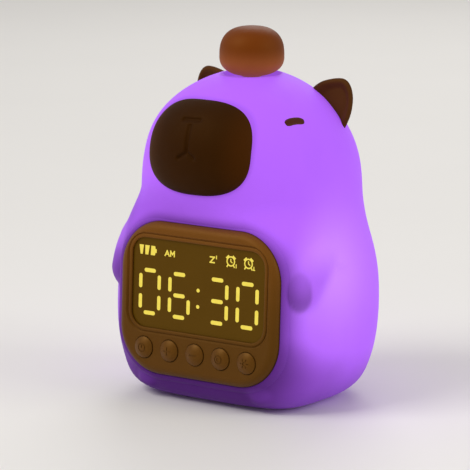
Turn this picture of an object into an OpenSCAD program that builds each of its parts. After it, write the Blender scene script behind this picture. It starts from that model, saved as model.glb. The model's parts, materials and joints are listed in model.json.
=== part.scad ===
// Kids alarm clock with a night light inside a soft animal body.
// A squat capybara-shaped silicone skin glows from a lamp column that stands inside it.
// A clock module with a lit four-digit display and five round buttons is set in its belly.
// A press-down orange on the head works the lamp switch.
//
// Frame: millimetres, +Z up, front towards -Y, origin under the middle on the table.

/* [Body] */
// Height of the silicone head without the orange
head_top = 147.4; // [135:0.2:160]
// Heights at which the body outline is set
station_z = [0, 26, 54, 84, 109, 129, 146]; // [0:1:160]
// Half width of the outline at each height
half_width = [47.8, 57.1, 57.4, 52.8, 48.3, 48.2, 48.2]; // [40:0.1:70]
// Reach of the outline to the front at each height
front_reach = [39.5, 39.6, 39.5, 41.2, 47.6, 49.5, 49.5]; // [30:0.1:60]
// Reach of the outline to the rear at each height
rear_reach = [41.2, 45.5, 49.2, 43.6, 50.4, 49, 49]; // [30:0.1:60]
// How square the belly front is, 2 being an ellipse
belly_square = 4.2; // [2:0.1:5]
// How square the front of the head is
face_square = 2.15; // [2:0.01:3]
// How square the back of the head is
nape_square = 2.03; // [2:0.01:3]
// How square the back of the belly is
rump_square = 2.3; // [2:0.01:3]
// Height where the head starts to close
crown_z = 95.5; // [80:0.5:110]
// Height over which the bottom edge rounds in at the front
foot_front = 13; // [6:1:30]
// Height over which the bottom edge rounds in at the sides and back
foot_side = 18; // [6:1:30]
// Thickness of the silicone
skin_t = 3; // [2:0.1:5]

/* [Clock] */
// Width of the clock module
bezel_w = 85.4; // [70:0.2:95]
// Height of the clock module
bezel_h = 69; // [60:0.2:80]
// Corner radius of the clock module
bezel_r = 21.5; // [10:0.5:25]
// Rounding of the front edge
bezel_fillet = 4; // [2:0.5:6]
// Depth of the clock module
bezel_d = 24; // [20:0.5:28]
// Lean of the clock face from upright, in degrees
panel_tilt = 2.75; // [0:0.25:6]
// Front plane of the clock module at its middle
panel_y = -43.2; // [-50:0.2:-36]
// Height of the middle of the clock module
panel_z = 47; // [42:0.5:54]
// Width of the raised silicone bead round the clock module
bead = 3.2; // [2:0.1:5]
// Width of the display window
window_w = 75; // [60:0.5:78]
// Height of the display window
window_h = 44; // [36:0.5:50]
// Window middle above the module middle
window_y = 6.6; // [0:0.1:10]
// Hour shown
shown_hour = 6; // [1:1:12]
// Minute shown
shown_minute = 30; // [0:1:59]
// Diameter of a button
button_d = 9.6; // [8:0.1:11]
// Spacing of the buttons
button_pitch = 13.9; // [12:0.1:15]
// Buttons below the module middle
button_drop = 22.6; // [20:0.5:28]
// Travel of a button
button_travel = 0.8; // [0.4:0.1:1.2]

/* [Orange] */
// Greatest radius of the orange
orange_r = 14.75; // [10:0.25:18]
// Bottom of the orange
orange_bottom = 144; // [143:0.1:147]
// Top of the orange
orange_top = 166; // [160:0.5:178]
// Travel of the orange
orange_travel = 1.2; // [0.5:0.1:1.4]

/* [Hidden] */
$fn = 40;

skin_colour = [0.74, 0.44, 1.0];
dark_brown = [0.24, 0.13, 0.07];
bezel_brown = [0.42, 0.26, 0.12];
window_brown = [0.34, 0.22, 0.08];
button_brown = [0.47, 0.32, 0.16];
orange_colour = [0.62, 0.3, 0.1];
lit_yellow = [0.98, 0.9, 0.35];
white = [0.9, 0.9, 0.88];
milky = [0.95, 0.93, 0.98];
board_green = [0.1, 0.35, 0.2];
black = [0.08, 0.08, 0.08];
steel = [0.7, 0.7, 0.72];

skin_bottom = 1.2;
flange_top = 3.4;
lip_top = 5.6;
inner_top = 139.3;
seat_r = 13;
deck_z = 33;
deck_t = 2.4;
wall = 2.2;
button_y = -button_drop;
segment_w = 1.8;
upright_z = -bezel_d - 0.15;
upright_t = 2.4;
tab_x = 46;
tab_ys = [-6.5, 19];
core_r = 13.5;
battery_y = 27.5;
battery_z = 45;
speaker_x = 0;
speaker_y = -9;
switch_x = 5;
switch_y = 13;
usb_z = 12.7;
usb_y = 38;
board_top = 11;
gap = 0.05;
screw_r = 1.5;
skin_step = 60;

// ---- Body outline --------------------------------------------------------------------

// Power of a signed number that keeps its sign.
function spow(v, e) = sign(v) * pow(abs(v), e);

// Smooth curve through the station values at height z.
function slope(v, i) =
    let (n = len(station_z) - 1)
    i == 0 ? (v[1] - v[0]) / (station_z[1] - station_z[0])
    : i == n ? 0
    : (v[i + 1] - v[i - 1]) / (station_z[i + 1] - station_z[i - 1]);
function station(z) =
    max([0, for (i = [0:len(station_z) - 2]) if (station_z[i] <= z) i]);
function along(v, z) =
    let (i = station(z), h = station_z[i + 1] - station_z[i], t = (z - station_z[i]) / h,
        t2 = t * t, t3 = t2 * t)
    (2 * t3 - 3 * t2 + 1) * v[i] + (t3 - 2 * t2 + t) * h * slope(v, i)
        + (3 * t2 - 2 * t3) * v[i + 1] + (t3 - t2) * h * slope(v, i + 1);

// How far the crown has closed in at height z, for a head that ends at height top.
function crown(z, top, p) =
    let (s = max(0, min(1, (z - crown_z) / (top - crown_z))))
    pow(max(0, 1 - pow(s, p)), 1 / 1.82);
// How far the bottom edge has rounded in at height z.
function foot(z, height, least) =
    let (w = max(0, min(1, 1 - z / height)))
    least + (1 - least) * sqrt(max(0, 1 - pow(w, 3.5)));
function foot_of_side(z) = foot(z, foot_side, 0.66);
function foot_of_front(z) = foot(z, foot_front, 0.56);
function belly(z) =
    let (t = max(0, min(1, (94 - z) / 30)))
    t * t * (3 - 2 * t);

function size_x(z, inset, top) =
    (along(half_width, z) * foot_of_side(z) - inset) * crown(z, top, 2.2);
function size_front(z, inset, top) =
    (along(front_reach, z) * foot_of_front(z) - inset) * crown(z, top, 3.8);
function size_rear(z, inset, top) =
    (along(rear_reach, z) * foot_of_side(z) - inset) * crown(z, top, 2.2);
function square_front(z) = face_square + (belly_square - face_square) * belly(z);
function square_back(z) = nape_square + (rump_square - nape_square) * belly(z);

// One level outline of the body, pulled in by inset.
function outline(z, inset = 0, top = head_top, count = skin_step) =
    [for (i = [0:count - 1])
        let (t = 360 * i / count, c = cos(t), s = sin(t),
            n = s < 0 ? square_front(z) : square_back(z),
            reach = s < 0 ? size_front(z, inset, top) : size_rear(z, inset, top))
        [size_x(z, inset, top) * spow(c, 2 / n), reach * spow(s, 2 / n)]];

// Front surface of the body above the point x, z.
function front_y(x, z) =
    -size_front(z, 0, head_top)
        * pow(max(0, 1 - pow(abs(x) / size_x(z, 0, head_top), square_front(z))),
            1 / square_front(z));

// A point of the body at plan angle t and height z, and its outward direction.
function body_point(t, z) =
    let (c = cos(t), s = sin(t), n = s < 0 ? square_front(z) : square_back(z),
        reach = s < 0 ? size_front(z, 0, head_top) : size_rear(z, 0, head_top))
    [size_x(z, 0, head_top) * spow(c, 2 / n), reach * spow(s, 2 / n), z];
function outward(t, z) =
    let (n = cross(body_point(t + 1, z) - body_point(t - 1, z),
            body_point(t, z + 0.5) - body_point(t, z - 0.5)))
    n / norm(n);

// Levels from the bottom to the crown point.
function levels(bottom, top) =
    concat([for (k = [0:5]) bottom + (foot_side - bottom) * (1 - cos(15 * k))],
        [for (k = [0:9]) foot_side + (crown_z - foot_side) * k / 10],
        [for (k = [0:11]) crown_z + (top - crown_z) * sin(90 * k / 12)]);

// Closed solid through the level outlines.
module body_loft(inset, bottom, top, n = skin_step) {
    zs = levels(bottom, top);
    rings = [for (z = zs) [for (p = outline(z, inset, top, n)) [p.x, p.y, z]]];
    m = len(zs);
    points = concat([for (r = rings) for (p = r) p], [[0, 0, top]]);
    sides = [for (k = [0:m - 2], i = [0:n - 1])
        let (j = (i + 1) % n)
        [k * n + i, (k + 1) * n + i, (k + 1) * n + j, k * n + j]];
    crown_faces = [for (i = [0:n - 1]) [(m - 1) * n + i, m * n, (m - 1) * n + (i + 1) % n]];
    polyhedron(points, concat([[for (i = [0:n - 1]) i]], sides, crown_faces), convexity = 4);
}

// Put children on the body surface, their z axis pointing outward.
module on_body(t, z) {
    n = outward(t, z);
    translate(body_point(t, z))
        rotate([0, 0, atan2(n.y, n.x)])
            rotate([0, acos(n.z), 0])
                children();
}

// ---- Shared shapes -------------------------------------------------------------------

// Put children on the clock face: x to the right, y up the face, z out of it.
module on_panel() {
    translate([0, panel_y, panel_z])
        rotate([90 - panel_tilt, 0, 0])
            children();
}

// A rounded rectangle whose edge has the section given as the child.
module edge_sweep(w, h, r, depth) {
    for (sx = [-1, 1], sy = [-1, 1])
        translate([sx * (w / 2 - r), sy * (h / 2 - r), 0])
            rotate([0, 0, atan2(sy, sx) - 45])
                rotate_extrude(angle = 90)
                    children();
    for (turn = [0, 180]) {
        rotate([0, 0, turn])
            translate([w / 2 - r, h / 2 - r, 0])
                rotate([90, 0, 0])
                    linear_extrude(h - 2 * r)
                        children();
        rotate([0, 0, turn + 90])
            translate([h / 2 - r, w / 2 - r, 0])
                rotate([90, 0, 0])
                    linear_extrude(w - 2 * r)
                        children();
    }
    translate([r - w / 2, r - h / 2, -depth])
        cube([w - 2 * r, h - 2 * r, depth]);
}

// Rounded block from height back up to height front.
module rounded_block(w, h, r, back, front) {
    translate([0, 0, front])
        edge_sweep(w, h, r, front - back)
            translate([0, back - front])
                square([r, front - back]);
}

// Section from the axis out to r, square behind and rounded by fillet at the front.
module round_section(r, fillet, depth) {
    translate([0, -depth])
        square([r, depth - fillet]);
    translate([0, -fillet])
        square([r - fillet, fillet]);
    translate([r - fillet, -fillet])
        circle(fillet);
}

// Screw pointing up along z, its head resting at z = 0.
module screw(length, head_r = 2.7, head_h = 1.6) {
    translate([0, 0, -head_h])
        cylinder(r = head_r, h = head_h);
    cylinder(r = screw_r, h = length);
}

// Round lead through a list of points.
module lead(path, r = 0.9) {
    for (i = [0:len(path) - 2])
        hull() {
            translate(path[i]) sphere(r, $fn = 8);
            translate(path[i + 1]) sphere(r, $fn = 8);
        }
}

// ---- Soft animal body ----------------------------------------------------------------

// Low cushion on the surface: half height, half width, and how far it stands out.
cushion_depth = 4.5;
module cushion(side, t, z, tall, wide, lift) {
    on_body(side > 0 ? t : -180 - t, z)
        translate([0, 0, lift - cushion_depth])
            scale([tall, wide, cushion_depth])
                sphere(1, $fn = 24);
}

// Arm folded against the side of the belly: plan angle, height, radius, lift of each joint.
arm_path = [[-10, 81, 8.4, 0.6], [-24, 69, 9, 2.1], [-38, 58, 7.9, 3]];
module arm(side) {
    for (k = [0, 1])
        hull()
            for (p = [arm_path[k], arm_path[k + 1]])
                cushion(side, p[0], p[1], p[2], p[2], p[3]);
}

// Toe nub at the bottom front.
module toe(side) {
    cushion(side, -69, 7.5, 4.6, 6.4, 1);
}

// Ear: a rounded triangular flap hollowed on its front, its root sunk in the skin.
ear_balls = [[25.2, 15.5, 137.4, 1.2], [29, 17, 139.4, 2], [33, 17.6, 141, 2],
    [36.7, 18, 141.3, 2], [39.2, 18, 139.3, 2], [40.3, 17.5, 135.1, 2],
    [40.2, 16.5, 130.6, 1.8], [39, 15.5, 124.2, 1.2], [31.8, 16.5, 130.9, 1.5]];
module ear(side, grow = 0) {
    difference() {
        hull()
            for (b = ear_balls)
                translate([side * b[0], b[1], b[2]])
                    sphere(b[3] + grow, $fn = 20);
        translate([side * 34.6, 11.6, 134.6])
            rotate([0, side * 45, 0])
                scale([8.2 - grow, 5 - grow, 5.4 - grow])
                    sphere(1, $fn = 32);
    }
}

// Curved bar of a closed eye let into the surface, its ends round.
eye_t = -22;
eye_z = 128.5;
eye_arc = 6.6;
eye_turn = 68;
eye_proud = 0.2;
function arc_points(c, r, from, to, n) =
    [for (k = [0:n]) let (a = from + (to - from) * k / n) c + r * [cos(a), sin(a)]];
module eye_bar(side, grow = 0) {
    half = 1.4 + grow;
    deep = 1.7 + grow;
    start = [eye_arc, 0];
    end = eye_arc * [cos(eye_turn), sin(eye_turn)];
    on_body(side > 0 ? eye_t : -180 - eye_t, eye_z)
        translate([5.6, 0, -deep])
            rotate([0, 0, 180 - eye_turn / 2])
                linear_extrude(deep + eye_proud + (grow > 0 ? 1 : 0))
                    polygon(concat(arc_points([0, 0], eye_arc + half, 0, eye_turn, 8),
                        arc_points(end, half, eye_turn + 30, eye_turn + 150, 4),
                        arc_points([0, 0], eye_arc - half, eye_turn, 0, 8),
                        arc_points(start, half, 210, 330, 4)));
}

// Muzzle: a rounded patch that follows the head and swells out of it.
muzzle_z = 116.3;
muzzle_w = 27.4;
muzzle_h = 21;
muzzle_bulge = 3.1;
muzzle_depth = 1.7;
function muzzle_point(rho, t, deep, grow) =
    let (x = (muzzle_w + grow) * rho * spow(cos(t), 2 / 2.7) * (1 - 0.06 * sin(t)),
        z = muzzle_z + (muzzle_h + grow) * rho * spow(sin(t), 2 / 2.7),
        lift = (muzzle_bulge - 0.9 * rho * sin(t)) * pow(max(0, 1 - pow(rho, 5)), 0.5))
    [x, front_y(x, z) + (deep ? muzzle_depth + grow : -lift), z];
module muzzle_solid(grow = 0) {
    n = 40;
    front = [for (k = [1:8]) sin(90 * k / 8)];
    back = [0.98, 0.7, 0.35];
    rings = concat([for (q = front) [for (i = [0:n - 1]) muzzle_point(q, 360 * i / n, false, grow)]],
        [for (q = back) [for (i = [0:n - 1]) muzzle_point(q, 360 * i / n, true, grow)]]);
    m = len(rings);
    points = concat([for (r = rings) for (p = r) p],
        [muzzle_point(0, 0, false, grow), muzzle_point(0, 0, true, grow)]);
    sides = [for (k = [0:m - 2], i = [0:n - 1], half = [0, 1])
        let (j = (i + 1) % n)
        half == 0 ? [k * n + i, k * n + j, (k + 1) * n + j]
        : [k * n + i, (k + 1) * n + j, (k + 1) * n + i]];
    front_cap = [for (i = [0:n - 1]) [m * n, (i + 1) % n, i]];
    back_cap = [for (i = [0:n - 1]) [m * n + 1, (m - 1) * n + i, (m - 1) * n + (i + 1) % n]];
    polyhedron(points, concat(sides, front_cap, back_cap), convexity = 4);
}

// Opening for the clock module, flared in front of the bead.
bead_back = 3;
module clock_opening() {
    flare = 6;
    back = -bezel_d - 8;
    front = 12;
    hole_r = bezel_r + 0.1;
    translate([0, 0, front])
        edge_sweep(bezel_w + 2 * flare, bezel_h + 2 * flare, bezel_r + flare, front - back)
            translate([0, -front])
                polygon([[0, back], [hole_r, back], [hole_r, -bead_back],
                    [bezel_r + flare, -bead_back + flare], [bezel_r + flare, front], [0, front]]);
}

// One-piece silicone moulding with a turned-in bottom lip and a belly opening for the clock.
module silicone_skin() {
    color(skin_colour) difference() {
        union() {
            body_loft(0, skin_bottom, head_top);
            for (side = [-1, 1]) {
                arm(side);
                toe(side);
            }
            on_panel() translate([0, 0, -bead_back])
                edge_sweep(bezel_w + 2 * bead, bezel_h + 2 * bead, bezel_r + bead, 6)
                    round_section(bezel_r + bead, bead, 6);
        }
        body_loft(skin_t, lip_top, inner_top, 36);
        translate([0, 0, -1])
            linear_extrude(flange_top + 1)
                polygon(outline(skin_bottom, 2.2));
        linear_extrude(lip_top + 1)
            polygon(outline(skin_bottom, 5.3));
        on_panel() clock_opening();
        translate([0, 0, orange_bottom - 1.8])
            cylinder(r = seat_r, h = 10);
        translate([0, 0, inner_top - 4])
            cylinder(r = 4.6, h = 10);
        translate([0, usb_y + 8, usb_z])
            rotate([90, 0, 0])
                rounded_block(13, 7, 3, -2, 10);
        muzzle_solid(0.1);
        for (side = [-1, 1]) {
            eye_bar(side, 0.05);
            ear(side, 0.05);
        }
    }
}

// Point of the muzzle face above x, z, and a round-bottomed groove between two of them.
function face_point(p, r) =
    let (lift = muzzle_bulge - 0.9 * (p[1] - muzzle_z) / muzzle_h)
    [p[0], front_y(p[0], p[1]) - lift - 0.1 * r, p[1]];
module groove(a, b, r) {
    hull() {
        translate(face_point(a, r)) sphere(r, $fn = 12);
        translate(face_point(b, r)) sphere(r, $fn = 12);
    }
}

// Dark muzzle with an engraved nose line, a groove below it and a small mouth.
module muzzle_cover() {
    color(dark_brown) difference() {
        muzzle_solid();
        for (side = [-1, 1]) {
            groove([0, 130], [side * 4.4, 129.4], 0.7);
            groove([0, 115.6], [side * 4.6, 112.8], 0.6);
        }
        groove([0, 127.2], [0, 115.6], 0.6);
    }
}

module eye_left() {
    color(black) eye_bar(-1);
}
module eye_right() {
    color(black) eye_bar(1);
}
module ear_left() {
    color(dark_brown) ear(-1);
}
module ear_right() {
    color(dark_brown) ear(1);
}

// ---- Orange push knob ----------------------------------------------------------------

orange_wide_z = 152.6;
function orange_height(a) =
    a < 0 ? orange_wide_z + (orange_wide_z - orange_bottom) * spow(sin(a), 2 / 2.4)
    : orange_wide_z + (orange_top - orange_wide_z) * spow(sin(a), 2 / 2.65);
function orange_radius(a) = orange_r * pow(cos(a), a < 0 ? 2 / 2.4 : 2 / 2.65);

// Squat round fruit, a full-sided curve turned about the axis.
module orange_cap() {
    color(orange_colour) difference() {
        rotate_extrude($fn = 48)
            polygon(concat([[0, orange_bottom]],
                [for (a = [-84:7:84]) [orange_radius(a), orange_height(a)]],
                [[0, orange_top]]));
        translate([0, 0, orange_bottom - 1])
            cylinder(r = 4.05, h = 16);
    }
}

// Plunger that carries the orange, with a stop collar and a pin for the switch.
module orange_stem() {
    color(white) union() {
        translate([0, 0, 123])
            cylinder(r = 4, h = orange_bottom + 14.9 - 123);
        translate([0, 0, 123])
            cylinder(r = 6.4, h = 2.9);
        translate([0, 0, 115.5])
            cylinder(r = 1.9, h = 7.5);
    }
}

// ---- Base ----------------------------------------------------------------------------

leg_spots = [[-24, -14], [24, -14], [-22, 13], [22, 13]];
board_posts = [[-14.3, 7], [14.3, 7], [-14.3, 19.5], [14.3, 19.5]];

// Bottom cover with the leg bosses, the speaker grille and the switch slot.
module base_plate() {
    color(white) difference() {
        union() {
            translate([0, 0, skin_bottom + 0.2])
                linear_extrude(1.8)
                    polygon(outline(skin_bottom, 2.4));
            translate([0, 0, 3])
                linear_extrude(5)
                    polygon(outline(skin_bottom, 5.5));
            for (p = board_posts)
                translate([p.x, p.y, 3])
                    cylinder(r = 2, h = 6.4);
        }
        difference() {
            translate([0, 0, 3.2])
                linear_extrude(5)
                    polygon(outline(skin_bottom, 7.2));
            for (p = leg_spots)
                translate([p.x, p.y, 0])
                    cylinder(r = 4.4, h = 8);
            for (p = board_posts)
                translate([p.x, p.y, 0])
                    cylinder(r = 2, h = 10);
        }
        for (p = leg_spots)
            translate([p.x, p.y, 0]) {
                cylinder(r = 2.9, h = 4.6);
                cylinder(r = 1.65, h = 12);
            }
        for (p = leg_spots)
            translate([p.x, p.y, 0])
                cylinder(r = 5.1, h = 2.1);
        for (p = board_posts)
            translate([p.x, p.y, 3.6])
                cylinder(r = 1.05, h = 6);
        for (ring = [0, 1], i = [0:ring * 7])
            rotate_about([speaker_x, speaker_y], i * 45)
                translate([speaker_x + ring * 5, speaker_y, 0])
                    cylinder(r = 1.1, h = 4, $fn = 20);
        translate([switch_x - 4.2, switch_y - 1.6, 0])
            cube([8.4, 3.2, 4]);
    }
}

// Turn children about a vertical line through point p.
module rotate_about(p, angle) {
    translate([p.x, p.y, 0])
        rotate([0, 0, angle])
            translate([-p.x, -p.y, 0])
                children();
}

// Four soft discs the clock stands on, each over a base screw.
module rubber_feet() {
    color(black)
        for (p = leg_spots)
            translate([p.x, p.y, 0])
                cylinder(r = 5, h = 2);
}

// Screws up through the base into the frame legs.
module base_screws() {
    color(steel)
        for (p = leg_spots)
            translate([p.x, p.y, 4.6])
                screw(12);
}

// ---- Inner frame ---------------------------------------------------------------------

lead_holes = [[36, 19], [-15, -14.5]];

// White chassis: deck on four legs, upright for the clock, socket for the lamp column.
module inner_frame() {
    color(white) difference() {
        union() {
            difference() {
                translate([0, 0, deck_z])
                    linear_extrude(deck_t)
                        polygon(outline(deck_z, skin_t + 0.8, head_top, 40));
                translate([-80, -80, 0])
                    cube([160, 80 - 18.6, 80]);
            }
            on_panel()
                translate([-49.5, -14.2, upright_z - upright_t])
                    cube([99, 37.5, upright_t]);
            for (p = leg_spots)
                translate([p.x, p.y, 8.05])
                    cylinder(r = 3.8, h = deck_z - 8);
            translate([0, 0, deck_z])
                cylinder(r = core_r + 2.4, h = 8);
            translate([-11, usb_y - 2.2, 9])
                cube([22, 2.2, deck_z - 8.5]);
            for (sx = [-1, 1])
                translate([sx * 20 - 1.5, battery_y - 10.6, deck_z])
                    cube([3, 21.2, battery_z + 4 - deck_z]);
        }
        for (p = leg_spots)
            translate([p.x, p.y, 7])
                cylinder(r = screw_r + gap, h = 12);
        translate([0, 0, deck_z + deck_t])
            cylinder(r = core_r + gap, h = 10);
        translate([0, 0, deck_z - 1])
            cylinder(r = 3, h = 10);
        for (p = lead_holes)
            translate([p.x, p.y, deck_z - 1])
                cylinder(r = 1.6, h = 5);
        translate([-33, battery_y, battery_z])
            rotate([0, 90, 0])
                cylinder(r = 9.25, h = 66);
        on_panel() {
            translate([-30, -7, -40])
                cube([60, 26, 30]);
            for (sx = [-1, 1], ty = tab_ys)
                translate([sx * tab_x, ty, -40])
                    cylinder(r = 1.65, h = 30);
        }
        translate([0, usb_y, usb_z])
            rotate([90, 0, 0])
                rounded_block(9.1, 3.4, 1.6, -1, 4);
    }
}

// Screws through the upright into the side tabs of the clock housing.
module module_screws() {
    color(steel)
        on_panel()
            for (sx = [-1, 1], ty = tab_ys)
                translate([sx * tab_x, ty, upright_z - upright_t])
                    screw(6);
}

// ---- Clock module --------------------------------------------------------------------

cover_spots = [[-37.2, -13.5], [37.2, -13.5], [-37.2, 13.5], [37.2, 13.5]];
board_spots = [[-20.9, -16.2], [20.9, -16.2]];
function button_x(i) = (i - 3) * button_pitch;

// Sloped edge cut round the window opening.
window_r = 9;
window_edge = 0.8;
module window_chamfer() {
    front = 1;
    wide = window_r + window_edge;
    translate([0, 0, front])
        edge_sweep(window_w + 2 * window_edge, window_h + 2 * window_edge, wide,
                front + window_edge)
            translate([0, -front])
                polygon([[0, -window_edge], [window_r, -window_edge], [wide, 0],
                    [wide, front], [0, front]]);
}

// Deep rounded tray: soft front edge, window opening, five button holes, rear posts.
module clock_housing() {
    color(bezel_brown) on_panel() difference() {
        union() {
            edge_sweep(bezel_w, bezel_h, bezel_r, bezel_d)
                round_section(bezel_r, bezel_fillet, bezel_d);
            for (sx = [-1, 1], ty = tab_ys)
                translate([sx * tab_x, ty, -bezel_d])
                    cylinder(r = 3.4, h = 5);
            for (sx = [-1, 1], ty = tab_ys)
                translate([sx * (tab_x - 2) - 2.5, ty - 3.4, -bezel_d])
                    cube([5, 6.8, 5]);
        }
        difference() {
            rounded_block(bezel_w - 2 * wall, bezel_h - 2 * wall, bezel_r - wall, -bezel_d - 1, -6);
            for (p = cover_spots)
                translate([p.x, p.y, -bezel_d + 2])
                    cylinder(r = 3, h = bezel_d);
            for (p = board_spots)
                translate([p.x, p.y, -9.5])
                    cylinder(r = 2.3, h = 4);
        }
        translate([0, window_y, 0]) {
            rounded_block(window_w, window_h, window_r, face_back, 1);
            window_chamfer();
            rounded_block(window_w - 6.8, window_h - 4.3, 7, -7, 0);
        }
        for (i = [1:5])
            translate([button_x(i), button_y, -7])
                cylinder(r = button_d / 2 + 0.3, h = 10);
        for (i = [1:5])
            translate([button_x(i), button_y, -7])
                cylinder(r = button_d / 2 + 1.6, h = 7 - wall);
        for (p = cover_spots)
            translate([p.x, p.y, -bezel_d])
                cylinder(r = screw_r + gap, h = 9);
        for (p = board_spots)
            translate([p.x, p.y, -9.6])
                cylinder(r = 1.05, h = 5);
        for (sx = [-1, 1], ty = tab_ys)
            translate([sx * tab_x, ty, -bezel_d - 1])
                cylinder(r = screw_r + gap, h = 5);
    }
}

// Levels of the display: face sheet, bars a touch proud of it, light block behind it.
face_front = -1.5;
face_back = face_front - 1.4;
block_front = face_back - 0.05;

// Seven-segment figures: which bars are lit for each digit.
lit_bars = ["abcdef", "bc", "abged", "abgcd", "fgbc", "afgcd", "afgedc", "abc", "abcdefg", "abcdfg"];
digit_x = [-26.4, -10.3, 10.3, 26.4];
digit_y = window_y - 4.15;
digits = [floor(shown_hour / 10), shown_hour % 10, floor(shown_minute / 10), shown_minute % 10];
bar_x = 5.1;
bar_y = 4.6;
bar_spots = [["a", 0, 2.09 * bar_y, 6.2, 0], ["b", bar_x, bar_y, 6.5, 90],
    ["c", bar_x, -bar_y, 6.5, 90], ["d", 0, -2.09 * bar_y, 6.2, 0],
    ["e", -bar_x, -bar_y, 6.5, 90], ["f", -bar_x, bar_y, 6.5, 90], ["g", 0, 0, 6.2, 0]];

// Round-ended bar along x.
module bar(length, back, front) {
    straight = length - segment_w;
    translate([-straight / 2, -segment_w / 2, back])
        cube([straight, segment_w, front - back]);
    for (turn = [0, 180])
        rotate([0, 0, turn])
            translate([straight / 2, 0, back])
                rotate([0, 0, -90])
                    rotate_extrude(angle = 180, $fn = 16)
                        square([segment_w / 2, front - back]);
}

// Bars of all four digits; lit chooses the ones that shine.
module digit_bars(lit, back, front) {
    for (k = [0:3], s = bar_spots)
        if ((len(search(s[0], lit_bars[digits[k]])) > 0) == lit)
            translate([digit_x[k] + s[1], digit_y + s[2], 0])
                rotate([0, 0, s[4]])
                    bar(s[3], back, front);
    if (lit)
        for (sy = [-1, 1])
            translate([0, digit_y + sy * 3.65, back])
                cylinder(r = 0.85, h = front - back, $fn = 16);
}

// Straight stroke of an icon from a to b.
module stroke(a, b, w = 0.6) {
    d = b - a;
    translate([a.x, a.y])
        rotate([0, 0, atan2(d.y, d.x)])
            translate([-w / 2, -w / 2])
                square([norm(d) + w, w]);
}

// Battery bars, the half-of-day mark, the snooze mark and two small alarm clocks.
icon_x = [-28, -15.9, 7.7, 17.1, 26.5];
module icon_shapes() {
    translate([icon_x[0], 0]) {
        polygon([[-4.6, 2.1], [-2.2, 2.1], [-2.8, -2.1], [-3.9, -2.1]]);
        polygon([[-1.4, 2.1], [1, 2.1], [0.3, -2.1], [-1.3, -2.1]]);
        polygon([[1.9, 2.1], [4, 2.1], [4.3, 0.8], [4.9, 0.8], [4.9, -0.9], [4.3, -0.9],
            [3.9, -2.1], [1.7, -2.1]]);
    }
    translate([icon_x[1], -0.3]) {
        stroke([-2.5, -1.1], [-1.4, 1.1]);
        stroke([-1.4, 1.1], [-0.3, -1.1]);
        stroke([-2, -0.4], [-0.8, -0.4], 0.5);
        stroke([0.5, -1.1], [0.5, 1.1]);
        stroke([0.5, 1.1], [1.5, -0.3]);
        stroke([1.5, -0.3], [2.5, 1.1]);
        stroke([2.5, 1.1], [2.5, -1.1]);
    }
    translate([icon_x[2], -0.4]) {
        stroke([-1.6, 1.2], [0.6, 1.2]);
        stroke([0.6, 1.2], [-1.6, -1.2]);
        stroke([-1.6, -1.2], [0.6, -1.2]);
        stroke([1.7, 1.8], [1.7, 0.7], 0.5);
    }
    for (k = [0, 1])
        translate([icon_x[3 + k], 0]) {
            difference() {
                circle(2.3, $fn = 24);
                circle(1.7, $fn = 24);
            }
            stroke([0, 0.9], [0, 0], 0.5);
            stroke([0, 0], [0.7, -0.5], 0.5);
            for (side = [-1, 1]) {
                stroke([side * 2.2, 1.5], [side * 1.3, 2.3], 0.7);
                stroke([side * 1.6, -1.9], [side * 1.9, -2.4], 0.6);
            }
            stroke([2.9, -1.2], [2.9, -2.5], 0.45);
            if (k == 1)
                stroke([2.6, -2.5], [3.3, -2.5], 0.45);
        }
}
icon_y = window_y + 14.5;

// Tinted face sheet in the window, pierced by the bars.
module display_face() {
    color(window_brown) on_panel() difference() {
        translate([0, window_y, 0])
            rounded_block(window_w - 0.2, window_h - 0.2, 8.9, face_back, face_front);
        digit_bars(true, -4, -1);
        digit_bars(false, -4, -1);
        translate([0, icon_y, face_front - 0.5])
            linear_extrude(1)
                icon_shapes();
    }
}

module lit_segments() {
    color(lit_yellow) on_panel() digit_bars(true, face_back, face_front + 0.05);
}
module unlit_segments() {
    color(window_brown) on_panel() digit_bars(false, face_back, face_front);
}

// Icon inlays in the face sheet.
module status_icons() {
    color(lit_yellow) on_panel()
        translate([0, icon_y, face_front - 0.5])
            linear_extrude(0.55)
                icon_shapes();
}

// White chamber block that keeps the light of each digit apart.
module light_block() {
    color(white) on_panel() difference() {
        translate([0, window_y, 0])
            rounded_block(window_w - 7.2, window_h - 4.7, 6.8, -9.5, block_front);
        for (x = digit_x)
            translate([x - 6.6, digit_y - 11, -10])
                cube([13.2, 22, 8]);
        translate([-2, digit_y - 6, -10])
            cube([4, 12, 8]);
        for (x = icon_x)
            translate([x - 4.2, icon_y - 2.6, -10])
                cube([8.4, 5.2, 8]);
    }
}

// Board that carries the display lamps and the button switches.
module clock_board() {
    color(board_green) on_panel() difference() {
        rounded_block(67.6, 61, 17, -11.1, -9.5);
        for (p = board_spots)
            translate([p.x, p.y, -12])
                cylinder(r = 1.2, h = 4);
    }
}

module clock_board_screws() {
    color(steel) on_panel()
        for (p = board_spots)
            translate([p.x, p.y, -11.1]) {
                translate([0, 0, -1.2])
                    cylinder(r = 1.9, h = 1.2, $fn = 24);
                cylinder(r = 1, h = 5, $fn = 24);
            }
}

// One small lamp behind every bar and icon.
module display_leds() {
    color(milky) on_panel() {
        for (x = digit_x, s = bar_spots)
            translate([x + s[1] - 0.6, digit_y + s[2] - 0.6, -9.5])
                cube([1.2, 1.2, 0.6]);
        for (x = icon_x)
            translate([x - 0.6, icon_y - 0.6, -9.5])
                cube([1.2, 1.2, 0.6]);
        translate([-0.6, digit_y - 0.6, -9.5])
            cube([1.2, 1.2, 0.6]);
    }
}

// Push switches under the buttons.
module tact_switches() {
    color(black) on_panel()
        for (i = [1:5])
            difference() {
                translate([button_x(i) - 3, button_y - 3, -9.5])
                    cube([6, 6, 3]);
                translate([button_x(i), button_y, -8.5])
                    cylinder(r = 1.8, h = 4);
            }
}

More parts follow.
